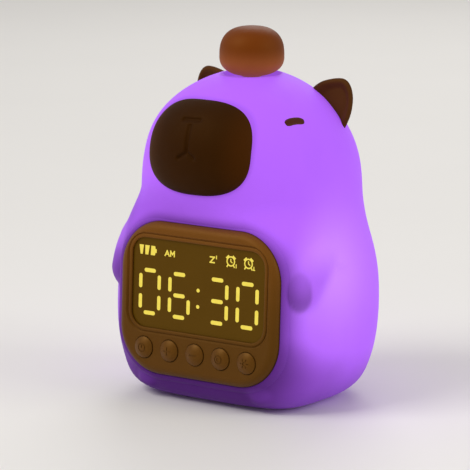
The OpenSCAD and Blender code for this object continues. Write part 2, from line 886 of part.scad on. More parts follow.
// Marks sunk in the tops of the keys: clock, plus, minus, bell ring, lamp.
module key_mark(i) {
    if (i == 1 || i == 4)
        difference() {
            circle(2, $fn = 24);
            circle(1.5, $fn = 24);
        }
    if (i == 1)
        stroke([0, 1], [0, 0], 0.45);
    if (i == 2)
        stroke([0, -1.6], [0, 1.6], 0.5);
    if (i == 2 || i == 3)
        stroke([-1.6, 0], [1.6, 0], 0.5);
    if (i == 4 || i == 5)
        circle(0.8, $fn = 20);
    if (i == 5)
        for (a = [0:60:300])
            stroke([1.3 * cos(a), 1.3 * sin(a)], [2 * cos(a), 2 * sin(a)], 0.4);
}

// Domed key with a collar behind the front wall and a stem into its switch.
key_edge = 0.4;
key_dome = 1.5;
mark_depth = 0.25;
module key(i) {
    r = button_d / 2;
    ball = (r * r + key_dome * key_dome) / (2 * key_dome);
    dome_z = key_edge + key_dome - ball;
    color(button_brown) on_panel() translate([button_x(i), button_y, 0]) {
        difference() {
            intersection() {
                translate([0, 0, -3])
                    cylinder(r = r, h = 3 + key_edge + key_dome + 1);
                translate([0, 0, dome_z])
                    sphere(ball, $fn = 64);
            }
            difference() {
                linear_extrude(6)
                    key_mark(i);
                translate([0, 0, dome_z])
                    sphere(ball - mark_depth, $fn = 64);
            }
        }
        translate([0, 0, -wall - 1.3])
            cylinder(r = r + 1, h = 1.25);
        translate([0, 0, -7.6])
            cylinder(r = 1.6, h = 5);
    }
}
module button_1() {
    key(1);
}
module button_2() {
    key(2);
}
module button_3() {
    key(3);
}
module button_4() {
    key(4);
}
module button_5() {
    key(5);
}

// Lid over the back of the clock module.
module clock_back_cover() {
    color(white) on_panel() difference() {
        rounded_block(bezel_w - 2 * wall - 0.3, bezel_h - 2 * wall - 0.3, bezel_r - wall - 0.15,
            -bezel_d, -bezel_d + 2);
        for (p = cover_spots)
            translate([p.x, p.y, -bezel_d - 1])
                cylinder(r = 1.65, h = 4);
        for (p = cover_spots)
            translate([p.x, p.y, -bezel_d - 1])
                cylinder(r = 2.8, h = 2.1);
        translate([0, 10, -bezel_d - 1])
            cylinder(r = 4, h = 4);
    }
}

module cover_screws() {
    color(steel) on_panel()
        for (p = cover_spots)
            translate([p.x, p.y, -bezel_d + 1.1])
                screw(7, 2.6, 1.1);
}

// ---- Lamp column ---------------------------------------------------------------------

core_top = 126;

// Milky tube that spreads the light inside the body.
module light_core() {
    color(milky) difference() {
        translate([0, 0, deck_z + deck_t])
            cylinder(r = core_r, h = core_top - deck_z - deck_t);
        translate([0, 0, deck_z])
            cylinder(r = core_r - 1.8, h = 120);
    }
}

// Mushroom cap on the tube that holds up the soft head and guides the plunger.
module head_support() {
    ball = 45.75;
    crest = 138.7;
    color(white) difference() {
        intersection() {
            translate([0, 0, crest - ball])
                sphere(ball, $fn = 96);
            translate([0, 0, 119])
                cylinder(r = 24, h = 30);
        }
        difference() {
            translate([0, 0, crest - ball])
                sphere(ball - 3, $fn = 96);
            translate([0, 0, 118])
                cylinder(r = core_r + 1.9, h = 30);
        }
        translate([0, 0, 100])
            cylinder(r = core_r + gap, h = core_top - 100 + gap);
        translate([0, 0, 100])
            cylinder(r = 4 + gap, h = 60);
    }
}

// Upright lamp board with lamps on both faces.
module light_board() {
    color(white)
        translate([-10, -0.8, deck_z + deck_t])
            cube([20, 1.6, 111 - deck_z - deck_t]);
}
module rgb_leds() {
    color(milky)
        for (z = [50:14:106], sx = [-1, 1], turn = [0, 180])
            rotate([0, 0, turn])
                translate([sx * 5 - 2.5, 0.8, z - 2.5])
                    cube([5, 1.5, 5]);
}

// Small round board and its long-travel switch under the plunger.
module switch_board() {
    color(board_green)
        translate([0, 0, 111])
            cylinder(r = core_r - 2, h = 1.6);
}
module light_switch() {
    color(black) difference() {
        translate([-6, -6, 112.6])
            cube([12, 12, 4.9]);
        translate([0, 0, 113.9])
            cylinder(r = 2.1, h = 6);
    }
}

// ---- Power and sound -----------------------------------------------------------------

// Rechargeable cell lying in the snap cradle on the deck.
module battery() {
    color([0.2, 0.35, 0.6])
        translate([-32.5, battery_y, battery_z])
            rotate([0, 90, 0])
                cylinder(r = 9.15, h = 65);
}

module power_board() {
    color(board_green) difference() {
        translate([-17, 4, 9.4])
            cube([34, 31.5, 1.6]);
        for (p = board_posts)
            translate([p.x, p.y, 9])
                cylinder(r = 1.2, h = 4);
    }
}

module board_screws() {
    color(steel)
        for (p = board_posts)
            translate([p.x, p.y, board_top]) {
                cylinder(r = 1.9, h = 1.2, $fn = 24);
                translate([0, 0, -5])
                    cylinder(r = 1, h = 5, $fn = 24);
            }
}

// Charging socket with its mouth in the rear recess.
module usb_socket() {
    color(steel) difference() {
        translate([0, usb_y, usb_z])
            rotate([90, 0, 0])
                rounded_block(9, 3.3, 1.55, 0, 7.4);
        translate([0, usb_y + 0.1, usb_z])
            rotate([90, 0, 0])
                rounded_block(8.4, 2.7, 1.25, -1, 6.2);
    }
}

module power_switch() {
    color(black) difference() {
        translate([switch_x - 5.5, switch_y - 2.4, 5.6])
            cube([11, 4.8, 3.8]);
        translate([switch_x - 3.4, switch_y - 1.1, 5])
            cube([6.8, 2.2, 2.4]);
    }
}
module power_switch_knob() {
    color(black)
        translate([switch_x - 3.2, switch_y - 1, 1.6])
            cube([3.2, 2, 5.6]);
}

// Small round speaker over the grille.
module speaker() {
    color(black)
        translate([speaker_x, speaker_y, 3.25])
            cylinder(r = 12, h = 5);
}

// Leads between the boards, the cell and the speaker.
module battery_lead() {
    color([0.8, 0.1, 0.1])
        lead([[33.6, battery_y, 45], [35.4, 24, 42], [36, 19, 38], [36, 19, 30],
            [24, 24, 22], [12, 24, 11.95]]);
}
module speaker_lead() {
    color(black)
        lead([[-9, -4, 9.2], [-9, 0, 11], [-9, 4, 12.6], [-9, 10, 11.95]]);
}
module clock_lead() {
    color(white)
        lead([[0, -18, 58], [0, -15.4, 54], [-15, -14.9, 48], [-15, -14.5, 38], [-15, -14.5, 30],
            [-14, -2, 20], [-8, 20, 11.95]]);
}
module light_lead() {
    color(white)
        lead([[0, 1.8, 38], [0, 1.8, 30], [0, 8, 22], [0, 14, 11.95]]);
}

silicone_skin();
muzzle_cover();
eye_left();
eye_right();
ear_left();
ear_right();
orange_cap();
orange_stem();
base_plate();
rubber_feet();
base_screws();
inner_frame();
module_screws();
clock_housing();
display_face();
lit_segments();
unlit_segments();
status_icons();
light_block();
clock_board();
clock_board_screws();
display_leds();
tact_switches();
button_1();
button_2();
button_3();
button_4();
button_5();
clock_back_cover();
cover_screws();
light_core();
head_support();
light_board();
rgb_leds();
switch_board();
light_switch();
battery();
power_board();
board_screws();
usb_socket();
power_switch();
power_switch_knob();
speaker();
battery_lead();
speaker_lead();
clock_lead();
light_lead();
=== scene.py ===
import json
import math

import bmesh
import bpy
import numpy as np
from mathutils import Matrix, Vector


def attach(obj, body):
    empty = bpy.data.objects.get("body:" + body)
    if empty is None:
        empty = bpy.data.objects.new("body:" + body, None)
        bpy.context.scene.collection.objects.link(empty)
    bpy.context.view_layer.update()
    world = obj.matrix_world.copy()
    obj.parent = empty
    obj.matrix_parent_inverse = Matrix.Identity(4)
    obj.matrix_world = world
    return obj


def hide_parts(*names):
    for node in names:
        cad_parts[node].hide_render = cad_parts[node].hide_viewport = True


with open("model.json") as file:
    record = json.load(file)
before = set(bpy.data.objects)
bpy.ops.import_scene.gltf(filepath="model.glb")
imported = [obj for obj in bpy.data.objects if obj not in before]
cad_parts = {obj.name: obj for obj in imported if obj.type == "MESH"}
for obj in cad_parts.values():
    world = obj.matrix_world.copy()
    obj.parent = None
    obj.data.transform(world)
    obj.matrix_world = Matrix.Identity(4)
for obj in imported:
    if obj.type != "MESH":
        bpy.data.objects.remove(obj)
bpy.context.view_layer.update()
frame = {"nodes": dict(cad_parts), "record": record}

# ---- Camera --------------------------------------------------------------------------
# A long lens a little above the table, well to the right of the clock face, so that the
# face, one flank and the top of the head all show.

CAMERA_PLACE = (0.7544, -1.0905, 0.3291)
CAMERA_RIGHT = (0.81915, 0.57358, 0.0)
CAMERA_UP = (-0.10944, 0.15630, 0.98163)
CAMERA_BACK = (0.56304, -0.80411, 0.19081)
SENSOR_WIDTH, LENS_LENGTH, FARTHEST = 36.0, 229.8, 20.0

lens = bpy.data.cameras.new("studio_camera")
lens.sensor_width = SENSOR_WIDTH
lens.lens = LENS_LENGTH
lens.clip_end = FARTHEST
camera = bpy.data.objects.new("studio_camera", lens)
columns = Matrix((CAMERA_RIGHT, CAMERA_UP, CAMERA_BACK)).transposed()
camera.matrix_world = Matrix.Translation(CAMERA_PLACE) @ columns.to_4x4()
bpy.context.scene.collection.objects.link(camera)
bpy.context.scene.camera = camera
bpy.context.scene.view_settings.view_transform = "Standard"


# ---- Table top -----------------------------------------------------------------------
# Plain pale laminate that the clock stands on: one flat sheet, large enough to fill the
# view.

def srgb(red, green, blue):
    """Colour for a shader from display values 0 to 255: the standard display curve undone."""
    value = np.array([red, green, blue]) / 255.0
    linear = np.where(value <= 0.04045, value / 12.92, ((value + 0.055) / 1.055) ** 2.4)
    return (*[float(v) for v in linear], 1.0)


class Paint:
    """One socket of a material's nodes. Arithmetic on it adds Math nodes, node() adds any
    other kind, and feed() joins it to an input of the material's surface shader."""

    def __init__(self, tree, socket=None):
        """The tree that new nodes go into, and the output socket that arithmetic reads."""
        self.tree = tree
        self.socket = socket

    def node(self, kind, settings=None, inputs=None, out=0):
        """Adds a node: its settings first, then a value or a link for each named input."""
        made = self.tree.nodes.new(kind)
        for name, value in (settings or {}).items():
            setattr(made, name, value)
        for name, value in (inputs or {}).items():
            if isinstance(value, Paint):
                self.tree.links.new(value.socket, made.inputs[name])
            else:
                made.inputs[name].default_value = value
        return Paint(self.tree, made.outputs[out])

    def math(self, operation, *others):
        """The operation worked out on this value and the others, in that order."""
        return self.node("ShaderNodeMath", {"operation": operation},
                         dict(enumerate((self, *others))))

    def __add__(self, other):
        return self.math("ADD", other)

    def __mul__(self, other):
        return self.math("MULTIPLY", other)

    def __sub__(self, other):
        return self.math("SUBTRACT", other)

    def __truediv__(self, other):
        return self.math("DIVIDE", other)

    def __rsub__(self, other):
        return self.node("ShaderNodeMath", {"operation": "SUBTRACT"}, {0: other, 1: self})

    __radd__ = __add__
    __rmul__ = __mul__

    def smooth(self, low, high):
        """0 below low, 1 above high, and a smooth step between them."""
        return self.node("ShaderNodeMapRange", {"interpolation_type": "SMOOTHSTEP"},
                         {"Value": self, "From Min": low, "From Max": high})

    def mix(self, first, second):
        """Colour between first and second, in the share that this socket gives."""
        return self.node("ShaderNodeMix", {"data_type": "RGBA"},
                         {0: self, 6: first, 7: second}, out=2)

    def place(self, axis=None):
        """Place on the object in metres: all of it, or its x, y or z as axis 0, 1 or 2."""
        whole = self.node("ShaderNodeTexCoord", out=3)
        return whole if axis is None else self.node("ShaderNodeSeparateXYZ", None,
                                                    {0: whole}, out=axis)

    def noise(self, size, detail=3.0):
        """Cloudy noise, 0 to 1, whose lumps are about size metres across."""
        return self.node("ShaderNodeTexNoise", {"normalize": True},
                         {"Vector": self.place(), "Scale": 1.0 / size, "Detail": detail})

    def attribute(self, name):
        """Value that the mesh carries at each point under this name."""
        return self.node("ShaderNodeAttribute", {"attribute_name": name}, out=2)

    def feed(self, name):
        """Joins this socket to the named input of the surface shader."""
        shader = next(n for n in self.tree.nodes if n.type == "BSDF_PRINCIPLED")
        self.tree.links.new(self.socket, shader.inputs[name])

    def gloss(self, least, change, size):
        """Roughness of least and up to change more, in patches about size metres across."""
        (least + change * self.noise(size)).feed("Roughness")

    def grain(self, size, depth, strength=0.5):
        """Fine bumps, noise of lumps about size metres across and depth metres deep."""
        bumps = {"Strength": strength, "Distance": depth, "Height": self.noise(size, 2.0)}
        self.node("ShaderNodeBump", None, bumps).feed("Normal")


def new_material(name, **constants):
    """Material with one surface shader whose named constants are set on its own sockets."""
    material = bpy.data.materials.new(name)
    material.use_nodes = True
    shader = material.node_tree.nodes["Principled BSDF"]
    for key, value in constants.items():
        shader.inputs[key.replace("_", " ")].default_value = value
    return material, Paint(material.node_tree)


FLOOR_HALF = 6.0
floor_mesh = bpy.data.meshes.new("table_top")
floor_mesh.from_pydata([(x * FLOOR_HALF, y * FLOOR_HALF, 0.0)
                        for x, y in ((-1, -1), (1, -1), (1, 1), (-1, 1))], [], [(0, 1, 2, 3)])
floor = bpy.data.objects.new("table_top", floor_mesh)
bpy.context.scene.collection.objects.link(floor)
laminate, paint = new_material("pale_laminate", Roughness=0.62)
paint.noise(0.25, 4.0).mix(srgb(226, 223, 219), srgb(231, 228, 224)).feed("Base Color")
floor_mesh.materials.append(laminate)


# ---- Studio light --------------------------------------------------------------------
# A pale room, a large soft lamp high at the front left, a weaker one on the right and one
# behind, so that a colour shows about as it is written.

ROOM_LEVEL = 0.5
room = bpy.data.worlds.new("studio_room")
bpy.context.scene.world = room
room.use_nodes = True
room_paint = Paint(room.node_tree)
room.node_tree.nodes["Background"].inputs["Color"].default_value = srgb(250, 249, 247)
# The camera sees the room at full strength; the clock is lit by ROOM_LEVEL of it.
seen = room_paint.node("ShaderNodeLightPath")
seen_level = seen.math("MULTIPLY_ADD", 1.0 - ROOM_LEVEL, ROOM_LEVEL)
room.node_tree.links.new(seen_level.socket,
                         room.node_tree.nodes["Background"].inputs["Strength"])


CLOCK_MIDDLE = (0.0, 0.0, 0.08)


def soft_lamp(name, place, size, watts):
    """Square area lamp at place, aimed at the middle of the clock."""
    data = bpy.data.lights.new(name, "AREA")
    data.size = size
    data.energy = watts
    lamp = bpy.data.objects.new(name, data)
    lamp.location = place
    aim = Vector(place) - Vector(CLOCK_MIDDLE)
    lamp.rotation_mode = "QUATERNION"
    lamp.rotation_quaternion = aim.to_track_quat("Z", "Y")
    bpy.context.scene.collection.objects.link(lamp)


soft_lamp("key_lamp", (-0.6, -1.05, 1.25), 0.9, 15.0)
soft_lamp("side_lamp", (1.35, 0.25, 0.75), 0.8, 7.0)
soft_lamp("back_lamp", (-0.6, 1.3, 1.0), 0.9, 6.0)


# ---- Silicone body -------------------------------------------------------------------
# One soft moulding in the shape of a squat animal, lit from inside by the lamp column.
# It is stretched over the frame, turned in at the bottom and round the clock module.

STATION_Z = np.array([0, 26, 54, 84, 109, 129, 146.0])
HALF_WIDTH = np.array([47.8, 57.1, 57.4, 52.8, 48.3, 48.2, 48.2])
FRONT_REACH = np.array([39.5, 39.6, 39.5, 41.2, 47.6, 49.5, 49.5])
REAR_REACH = np.array([41.2, 45.5, 49.2, 43.6, 50.4, 49, 49])
HEAD_TOP = 147.4
INNER_TOP = 139.3
CROWN_Z, CROWN_SIDE, CROWN_FRONT, CROWN_ROUND = 95.5, 2.2, 3.8, 1.82
FOOT_SIDE, FOOT_FRONT, FOOT_ROUND = (18, 0.66), (13, 0.56), 3.5
BELLY_TOP, BELLY_FADE = 94, 30
HEAD_SQUARE_FRONT, HEAD_SQUARE_REAR = 2.15, 2.03
BELLY_SQUARE_FRONT, BELLY_SQUARE_REAR = 2.05, 0.27
SKIN_BOTTOM = 1.2
SKIN_THICK = 3.0
FLOOR_LIP = ((SKIN_BOTTOM, 1.1), (SKIN_BOTTOM, 2.2), (3.4, 2.2), (3.4, 5.3), (5.6, 5.3))
SEAT_R, SEAT_ROUND = 13.0, 0.6
SEAT_Z = 142.4
SEAT_EDGE_Z, SEAT_BREAK = 145.2, 0.4
STEM_HOLE_R = 4.6
BEZEL_W, BEZEL_H, BEZEL_R = 85.4, 69.0, 21.5
PANEL_Y, PANEL_Z = -43.2, 47.0
PANEL_TILT = math.radians(2.75)
BEAD = 3.2
BEAD_TOP = -3.0
COLUMNS = 336


def smoothstep(value, low, high):
    """0 below low, 1 above high: 3s^2 - 2s^3 of the share s between them."""
    s = np.clip((value - low) / (high - low), 0, 1)
    return s * s * (3 - 2 * s)


def signed_power(value, power):
    """The size of the value to a power, with the sign that it had."""
    return np.sign(value) * np.abs(value) ** power


def along(values, z):
    """Smooth curve through the station values at height z: cubic pieces whose slope at a
    station is that of the line between its two neighbours, level at the top."""
    slope = np.empty(len(values))
    slope[1:-1] = (values[2:] - values[:-2]) / (STATION_Z[2:] - STATION_Z[:-2])
    slope[0] = (values[1] - values[0]) / (STATION_Z[1] - STATION_Z[0])
    slope[-1] = 0
    i = np.clip(np.searchsorted(STATION_Z, z, side="right") - 1, 0, len(values) - 2)
    h = STATION_Z[i + 1] - STATION_Z[i]
    t = (z - STATION_Z[i]) / h
    return ((2 * t**3 - 3 * t**2 + 1) * values[i] + (t**3 - 2 * t**2 + t) * h * slope[i]
            + (3 * t**2 - 2 * t**3) * values[i + 1] + (t**3 - t**2) * h * slope[i + 1])


def body_sizes(z, inset=0.0, top=HEAD_TOP):
    """Half width, front reach, rear reach, front and rear squareness of the body at z.
    Each size is its station curve, drawn in by a quarter-round foot and a closing crown."""
    def foot(height, least):
        """least on the table, 1 from height up: the root of 1 less a power of the drop."""
        drop = np.clip(1 - z / height, 0, 1)
        return least + (1 - least) * np.sqrt(1 - drop**FOOT_ROUND)

    def crown(power):
        """1 up to the start of the crown, 0 at the top, and a superellipse between them."""
        rise = np.clip((z - CROWN_Z) / (top - CROWN_Z), 0, 1)
        return (1 - rise**power) ** (1 / CROWN_ROUND)

    belly = smoothstep(BELLY_TOP - z, 0, BELLY_FADE)
    wide = (along(HALF_WIDTH, z) * foot(*FOOT_SIDE) - inset) * crown(CROWN_SIDE)
    front = (along(FRONT_REACH, z) * foot(*FOOT_FRONT) - inset) * crown(CROWN_FRONT)
    rear = (along(REAR_REACH, z) * foot(*FOOT_SIDE) - inset) * crown(CROWN_SIDE)
    return (wide, front, rear, HEAD_SQUARE_FRONT + BELLY_SQUARE_FRONT * belly,
            HEAD_SQUARE_REAR + BELLY_SQUARE_REAR * belly)


def body_ring(z, turn, inset=0.0, top=HEAD_TOP):
    """Points of the level outline at z in the plan directions turn: a superellipse whose
    front half and rear half have their own reach and squareness."""
    wide, front, rear, square_front, square_rear = body_sizes(z, inset, top)
    ahead = np.sin(turn) < 0
    reach = np.where(ahead, front, rear)
    power = np.where(ahead, square_front, square_rear)
    reach, wide = np.maximum(reach, 1e-6), np.maximum(wide, 1e-6)
    radius = ((np.abs(np.cos(turn)) / wide) ** power
              + (np.abs(np.sin(turn)) / reach) ** power) ** (-1 / power)
    return np.stack([radius * np.cos(turn), radius * np.sin(turn), z + 0 * radius], -1)


def body_point(angle, z):
    """Points of the body at superellipse angles (degrees) and heights z."""
    angle, z = np.broadcast_arrays(np.asarray(angle, float), np.asarray(z, float))
    c, s = np.cos(np.radians(angle)), np.sin(np.radians(angle))
    wide, front, rear, square_front, square_rear = body_sizes(z)
    power = np.where(s < 0, square_front, square_rear)
    reach = np.where(s < 0, front, rear)
    return np.stack([wide * signed_power(c, 2 / power), reach * signed_power(s, 2 / power), z], -1)


def on_side(angle, side):
    """Superellipse angle (degrees) of a place on the right, or of its mirror image."""
    return angle if side > 0 else -180 - angle


def surface_frame(angle, z, side=1):
    """Origin and three directions on the body, from the steps to its neighbours: down the
    slope, round it, and outwards."""
    angle = on_side(angle, side)
    across = body_point(angle + 1, z) - body_point(angle - 1, z)
    up = body_point(angle, z + 0.5) - body_point(angle, z - 0.5)
    out = np.cross(across, up)
    out /= np.linalg.norm(out)
    turn = math.atan2(out[1], out[0])
    round_it = np.array([-math.sin(turn), math.cos(turn), 0])
    return body_point(angle, z), np.cross(round_it, out), round_it, out


def to_panel(points):
    """The row's millimetres turned into the clock face's own: right, up the face, out."""
    y, z = points[..., 1] - PANEL_Y, points[..., 2] - PANEL_Z
    c, s = math.cos(PANEL_TILT), math.sin(PANEL_TILT)
    return np.stack([points[..., 0], y * s + z * c, -y * c + z * s], -1)


def from_panel(points):
    """The clock face's own millimetres turned into the row's."""
    up, out = points[..., 1], points[..., 2]
    c, s = math.cos(PANEL_TILT), math.sin(PANEL_TILT)
    return np.stack([points[..., 0], PANEL_Y + up * s - out * c, PANEL_Z + up * c + out * s], -1)


def outline_distance(x, y, wide, high, radius):
    """Distance outside a rounded rectangle, negative inside it."""
    dx, dy = np.abs(x) - (wide / 2 - radius), np.abs(y) - (high / 2 - radius)
    return (np.hypot(np.maximum(dx, 0), np.maximum(dy, 0))
            + np.minimum(np.maximum(dx, dy), 0) - radius)


def soft_min(a, b, k):
    """Lesser of a and b with the corner between them rounded over about k."""
    h = np.clip(0.5 + 0.5 * (b - a) / k, 0, 1)
    return b + (a - b) * h - k * h * (1 - h)


def grid_faces(rows, cols, wrap=True, start=0):
    """Four-sided faces between the neighbours of a grid of rows x cols points."""
    k, i = np.meshgrid(np.arange(rows - 1), np.arange(cols if wrap else cols - 1),
                       indexing="ij")
    j = (i + 1) % cols
    faces = np.stack([k * cols + i, k * cols + j, (k + 1) * cols + j, (k + 1) * cols + i], -1)
    return faces.reshape(-1, 4) + start


MM = 0.001
WELD_REACH = 3e-6


def weld(mesh):
    """Merges the points of a mesh that coincide, such as those where a grid closes on itself or
    meets at a pole.
    """
    joined = bmesh.new()
    joined.from_mesh(mesh)
    bmesh.ops.remove_doubles(joined, verts=joined.verts, dist=WELD_REACH)
    joined.to_mesh(mesh)
    joined.free()


def make_piece(name, points, faces, body, material, replaced=(), values=None):
    """Smooth mesh piece from millimetre points and faces, riding a body. Its faces are
    turned outwards where the volume they close, the sum of the tents from the middle
    point to each face, comes out negative."""
    points = np.asarray(points, float).reshape(-1, 3) * MM
    faces = np.asarray(faces)
    a, b, c = points[faces[:, 0]], points[faces[:, 1]], points[faces[:, 2]]
    d = points[faces[:, -1]]
    middle = points[np.unique(faces)].mean(0)
    volume = np.einsum("ij,ij", a - middle, np.cross(b - middle, c - middle))
    volume += np.einsum("ij,ij", a - middle, np.cross(c - middle, d - middle))
    if volume < 0:
        faces = faces[:, ::-1]
    mesh = bpy.data.meshes.new(name)
    mesh.from_pydata(points.tolist(), [], faces.tolist())
    mesh.polygons.foreach_set("use_smooth", np.ones(len(mesh.polygons), bool))
    for key, value in (values or {}).items():
        layer = mesh.attributes.new(key, "FLOAT", "POINT")
        layer.data.foreach_set("value", np.asarray(value, np.float32).ravel())
    weld(mesh)
    mesh.materials.append(material)
    piece = bpy.data.objects.new(name, mesh)
    bpy.context.scene.collection.objects.link(piece)
    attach(piece, body)
    if replaced:
        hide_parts(*replaced)
    return piece


CUSHION_DEPTH, CUSHION_FILLET, SUNK = 4.5, 2.2, -9.0


def cushions(points, chain):
    """Height of a row of cushions over the surface. Along the chain of places, radii and
    lifts each cushion is the top of an ellipsoid sunk so that it stands out by its lift."""
    best = np.full(points.shape[:-1], SUNK)
    for (p, r0, l0), (q, r1, l1) in zip(chain[:-1], chain[1:]):
        s = np.clip(((points - p) @ (q - p)) / ((q - p) @ (q - p) + 1e-9), 0, 1)
        far = np.linalg.norm(points - (p + s[..., None] * (q - p)), axis=-1)
        radius, lift = r0 + s * (r1 - r0), l0 + s * (l1 - l0)
        dome = np.sqrt(np.clip(1 - (far / radius) ** 2, 0, 1))
        height = lift + CUSHION_DEPTH * (dome - 1)
        best = np.maximum(best, np.where(far < radius, height, SUNK))
    return -soft_min(-best, 0 * best, CUSHION_FILLET)


turn = np.linspace(-math.pi, math.pi, COLUMNS, endpoint=False) - math.pi / 2


def disc_ring(radius, z):
    """Level circle of points about the upright axis, in the same plan directions."""
    return np.stack([radius * np.cos(turn), radius * np.sin(turn), z + 0 * turn], -1)


def quarter_sine(start, end, count):
    """Shares from start to end whose steps follow a quarter of a sine wave."""
    return np.sin(np.linspace(start, end, count) * math.pi / 2)


# Rings of points from the seat of the orange down the outside, in under the base plate and
# up the inside, back to the hole for the plunger.
crown_rows = CROWN_Z + (HEAD_TOP - CROWN_Z) * quarter_sine(1, 0, 62)[1:]
crown_rows = crown_rows[crown_rows < SEAT_EDGE_Z]
foot_top = FOOT_SIDE[0]
side_rows = np.linspace(CROWN_Z, foot_top, 80)[1:]
foot_rows = SKIN_BOTTOM + (foot_top - SKIN_BOTTOM) * (1 - quarter_sine(0, 1, 26)[1:])
outer = [body_ring(z, turn) for z in np.concatenate([crown_rows, side_rows, foot_rows])]
lip = [body_ring(z, turn, inset) for z, inset in FLOOR_LIP]
dome_rows = CROWN_Z + (INNER_TOP - CROWN_Z) * quarter_sine(0, 1, 16)[1:-1]
inner_rows = np.concatenate([np.linspace(FLOOR_LIP[-1][0], CROWN_Z, 64), dome_rows])
inner = [body_ring(z, turn, SKIN_THICK, INNER_TOP) for z in inner_rows]
seat = [disc_ring(STEM_HOLE_R, INNER_TOP), disc_ring(STEM_HOLE_R, SEAT_Z),
        disc_ring(SEAT_R - SEAT_ROUND, SEAT_Z), disc_ring(SEAT_R, SEAT_Z + SEAT_ROUND),
        disc_ring(SEAT_R, SEAT_EDGE_Z - SEAT_BREAK)]
skin = np.array(seat + outer + lip + inner + [seat[0]])
first, last = len(seat), len(seat) + len(outer)
row_number = np.arange(len(skin))[:, None]

# Folded arms and toes raised on the outer surface: angle, height, radius and lift of each
# joint of the arm and of the toe, which is drawn out sideways.
ARM_JOINTS = ((-12, 78, 7.4, -0.6), (-24, 69, 8.8, 1.3), (-39, 57.2, 8.4, 3.3))
TOE_ANGLE, TOE_Z, TOE_R, TOE_LIFT, TOE_WIDER = -69, 7.5, 5.4, 1.0, 2.0
BODY_MIDDLE = (0, 0, 70)
shell = skin[first:last]
slope_down, slope_round = np.gradient(shell, axis=0), np.gradient(shell, axis=1)
outward = np.cross(slope_round, slope_down)
outward /= np.linalg.norm(outward, axis=-1, keepdims=True) + 1e-12
outward *= np.sign(np.sum(outward * (shell - BODY_MIDDLE), -1, keepdims=True))
raised = np.zeros(shell.shape[:-1])
for side in (-1, 1):
    arm = [(body_point(on_side(angle, side), z), radius, lift)
           for angle, z, radius, lift in ARM_JOINTS]
    toe = body_point(on_side(TOE_ANGLE, side), TOE_Z)
    toes = [(toe + [shift, 0, 0], TOE_R, TOE_LIFT) for shift in (0, side * TOE_WIDER)]
    raised += cushions(shell, arm) + cushions(shell, toes)
skin[first:last] = shell + outward * raised[..., None]

# The opening for the clock module: the outer surface swells and dips to a lip round it,
# and both surfaces end on its outline.
LIP_REACH, LIP_DROP, LIP_SLOPE, LIP_BEND, LIP_ROUND = 14.0, 0.6, 0.75, 0.06, 4.5
DIP_DEPTH, DIP_ROUND = 0.3, 5.5
FAR_OFF = 99.0
FRONT_DRAW, REAR_DRAW = 3.0, 2.2
flat = to_panel(skin)
front_gap = outline_distance(flat[..., 0], flat[..., 1], BEZEL_W, BEZEL_H, BEZEL_R)
front_gap = np.where(skin[..., 1] < 0, front_gap, FAR_OFF)
fall = LIP_DROP + LIP_SLOPE * front_gap + LIP_BEND * front_gap**2
swell = -soft_min(-flat[..., 2], fall - BEAD_TOP, LIP_ROUND)
dip = soft_min(swell, BEAD_TOP - DIP_DEPTH + front_gap, DIP_ROUND)
near_lip = (front_gap < LIP_REACH) & (row_number >= first) & (row_number < last)
flat[..., 2] = np.where(near_lip, dip, flat[..., 2])


CLEAR = 0.05


def drawn_to_outline(points, wide, high, radius, reach):
    """Points in an outline's plane, those inside it and within reach of it moved out to it
    along the slope of their distance from it."""
    step = 0.01
    x, y = points[..., 0], points[..., 1]
    gap = outline_distance(x, y, wide, high, radius)
    slope_x = (outline_distance(x + step, y, wide, high, radius) - gap) / step
    slope_y = (outline_distance(x, y + step, wide, high, radius) - gap) / step
    pull = np.where((gap < CLEAR) & (gap > -reach), CLEAR - gap, 0)
    return x + slope_x * pull, y + slope_y * pull


moved = flat.copy()
moved[..., 0], moved[..., 1] = drawn_to_outline(flat, BEZEL_W, BEZEL_H, BEZEL_R, FRONT_DRAW)
skin = np.where((front_gap < LIP_REACH)[..., None], from_panel(moved), skin)

# The slot for the charging plug, low at the back.
SLOT_Z, SLOT_W, SLOT_H, SLOT_R = 12.7, 13.0, 7.0, 3.0
REAR_FROM = 20


def rear_y(x, z, inset=0.0):
    """Rear surface of the body over x, z: the superellipse solved for y."""
    wide, _, rear, _, square = body_sizes(z, inset)
    return rear * np.clip(1 - (np.abs(x) / wide) ** square, 0, 1) ** (1 / square)


seen_flat = np.stack([skin[..., 0], skin[..., 2] - SLOT_Z], -1)
rear_gap = outline_distance(seen_flat[..., 0], seen_flat[..., 1], SLOT_W, SLOT_H, SLOT_R)
rear_gap = np.where(skin[..., 1] > REAR_FROM, rear_gap, FAR_OFF)
slot_x, slot_z = drawn_to_outline(seen_flat, SLOT_W, SLOT_H, SLOT_R, REAR_DRAW)
slot_y = rear_y(slot_x, slot_z + SLOT_Z, SKIN_THICK * (row_number >= last))
slot_points = np.stack([slot_x, slot_y, slot_z + SLOT_Z], -1)
skin = np.where((rear_gap < CLEAR)[..., None], slot_points, skin)

faces = grid_faces(len(skin), COLUMNS)
faces = faces[~(np.minimum(front_gap, rear_gap) < 0).ravel()[faces].all(1)]
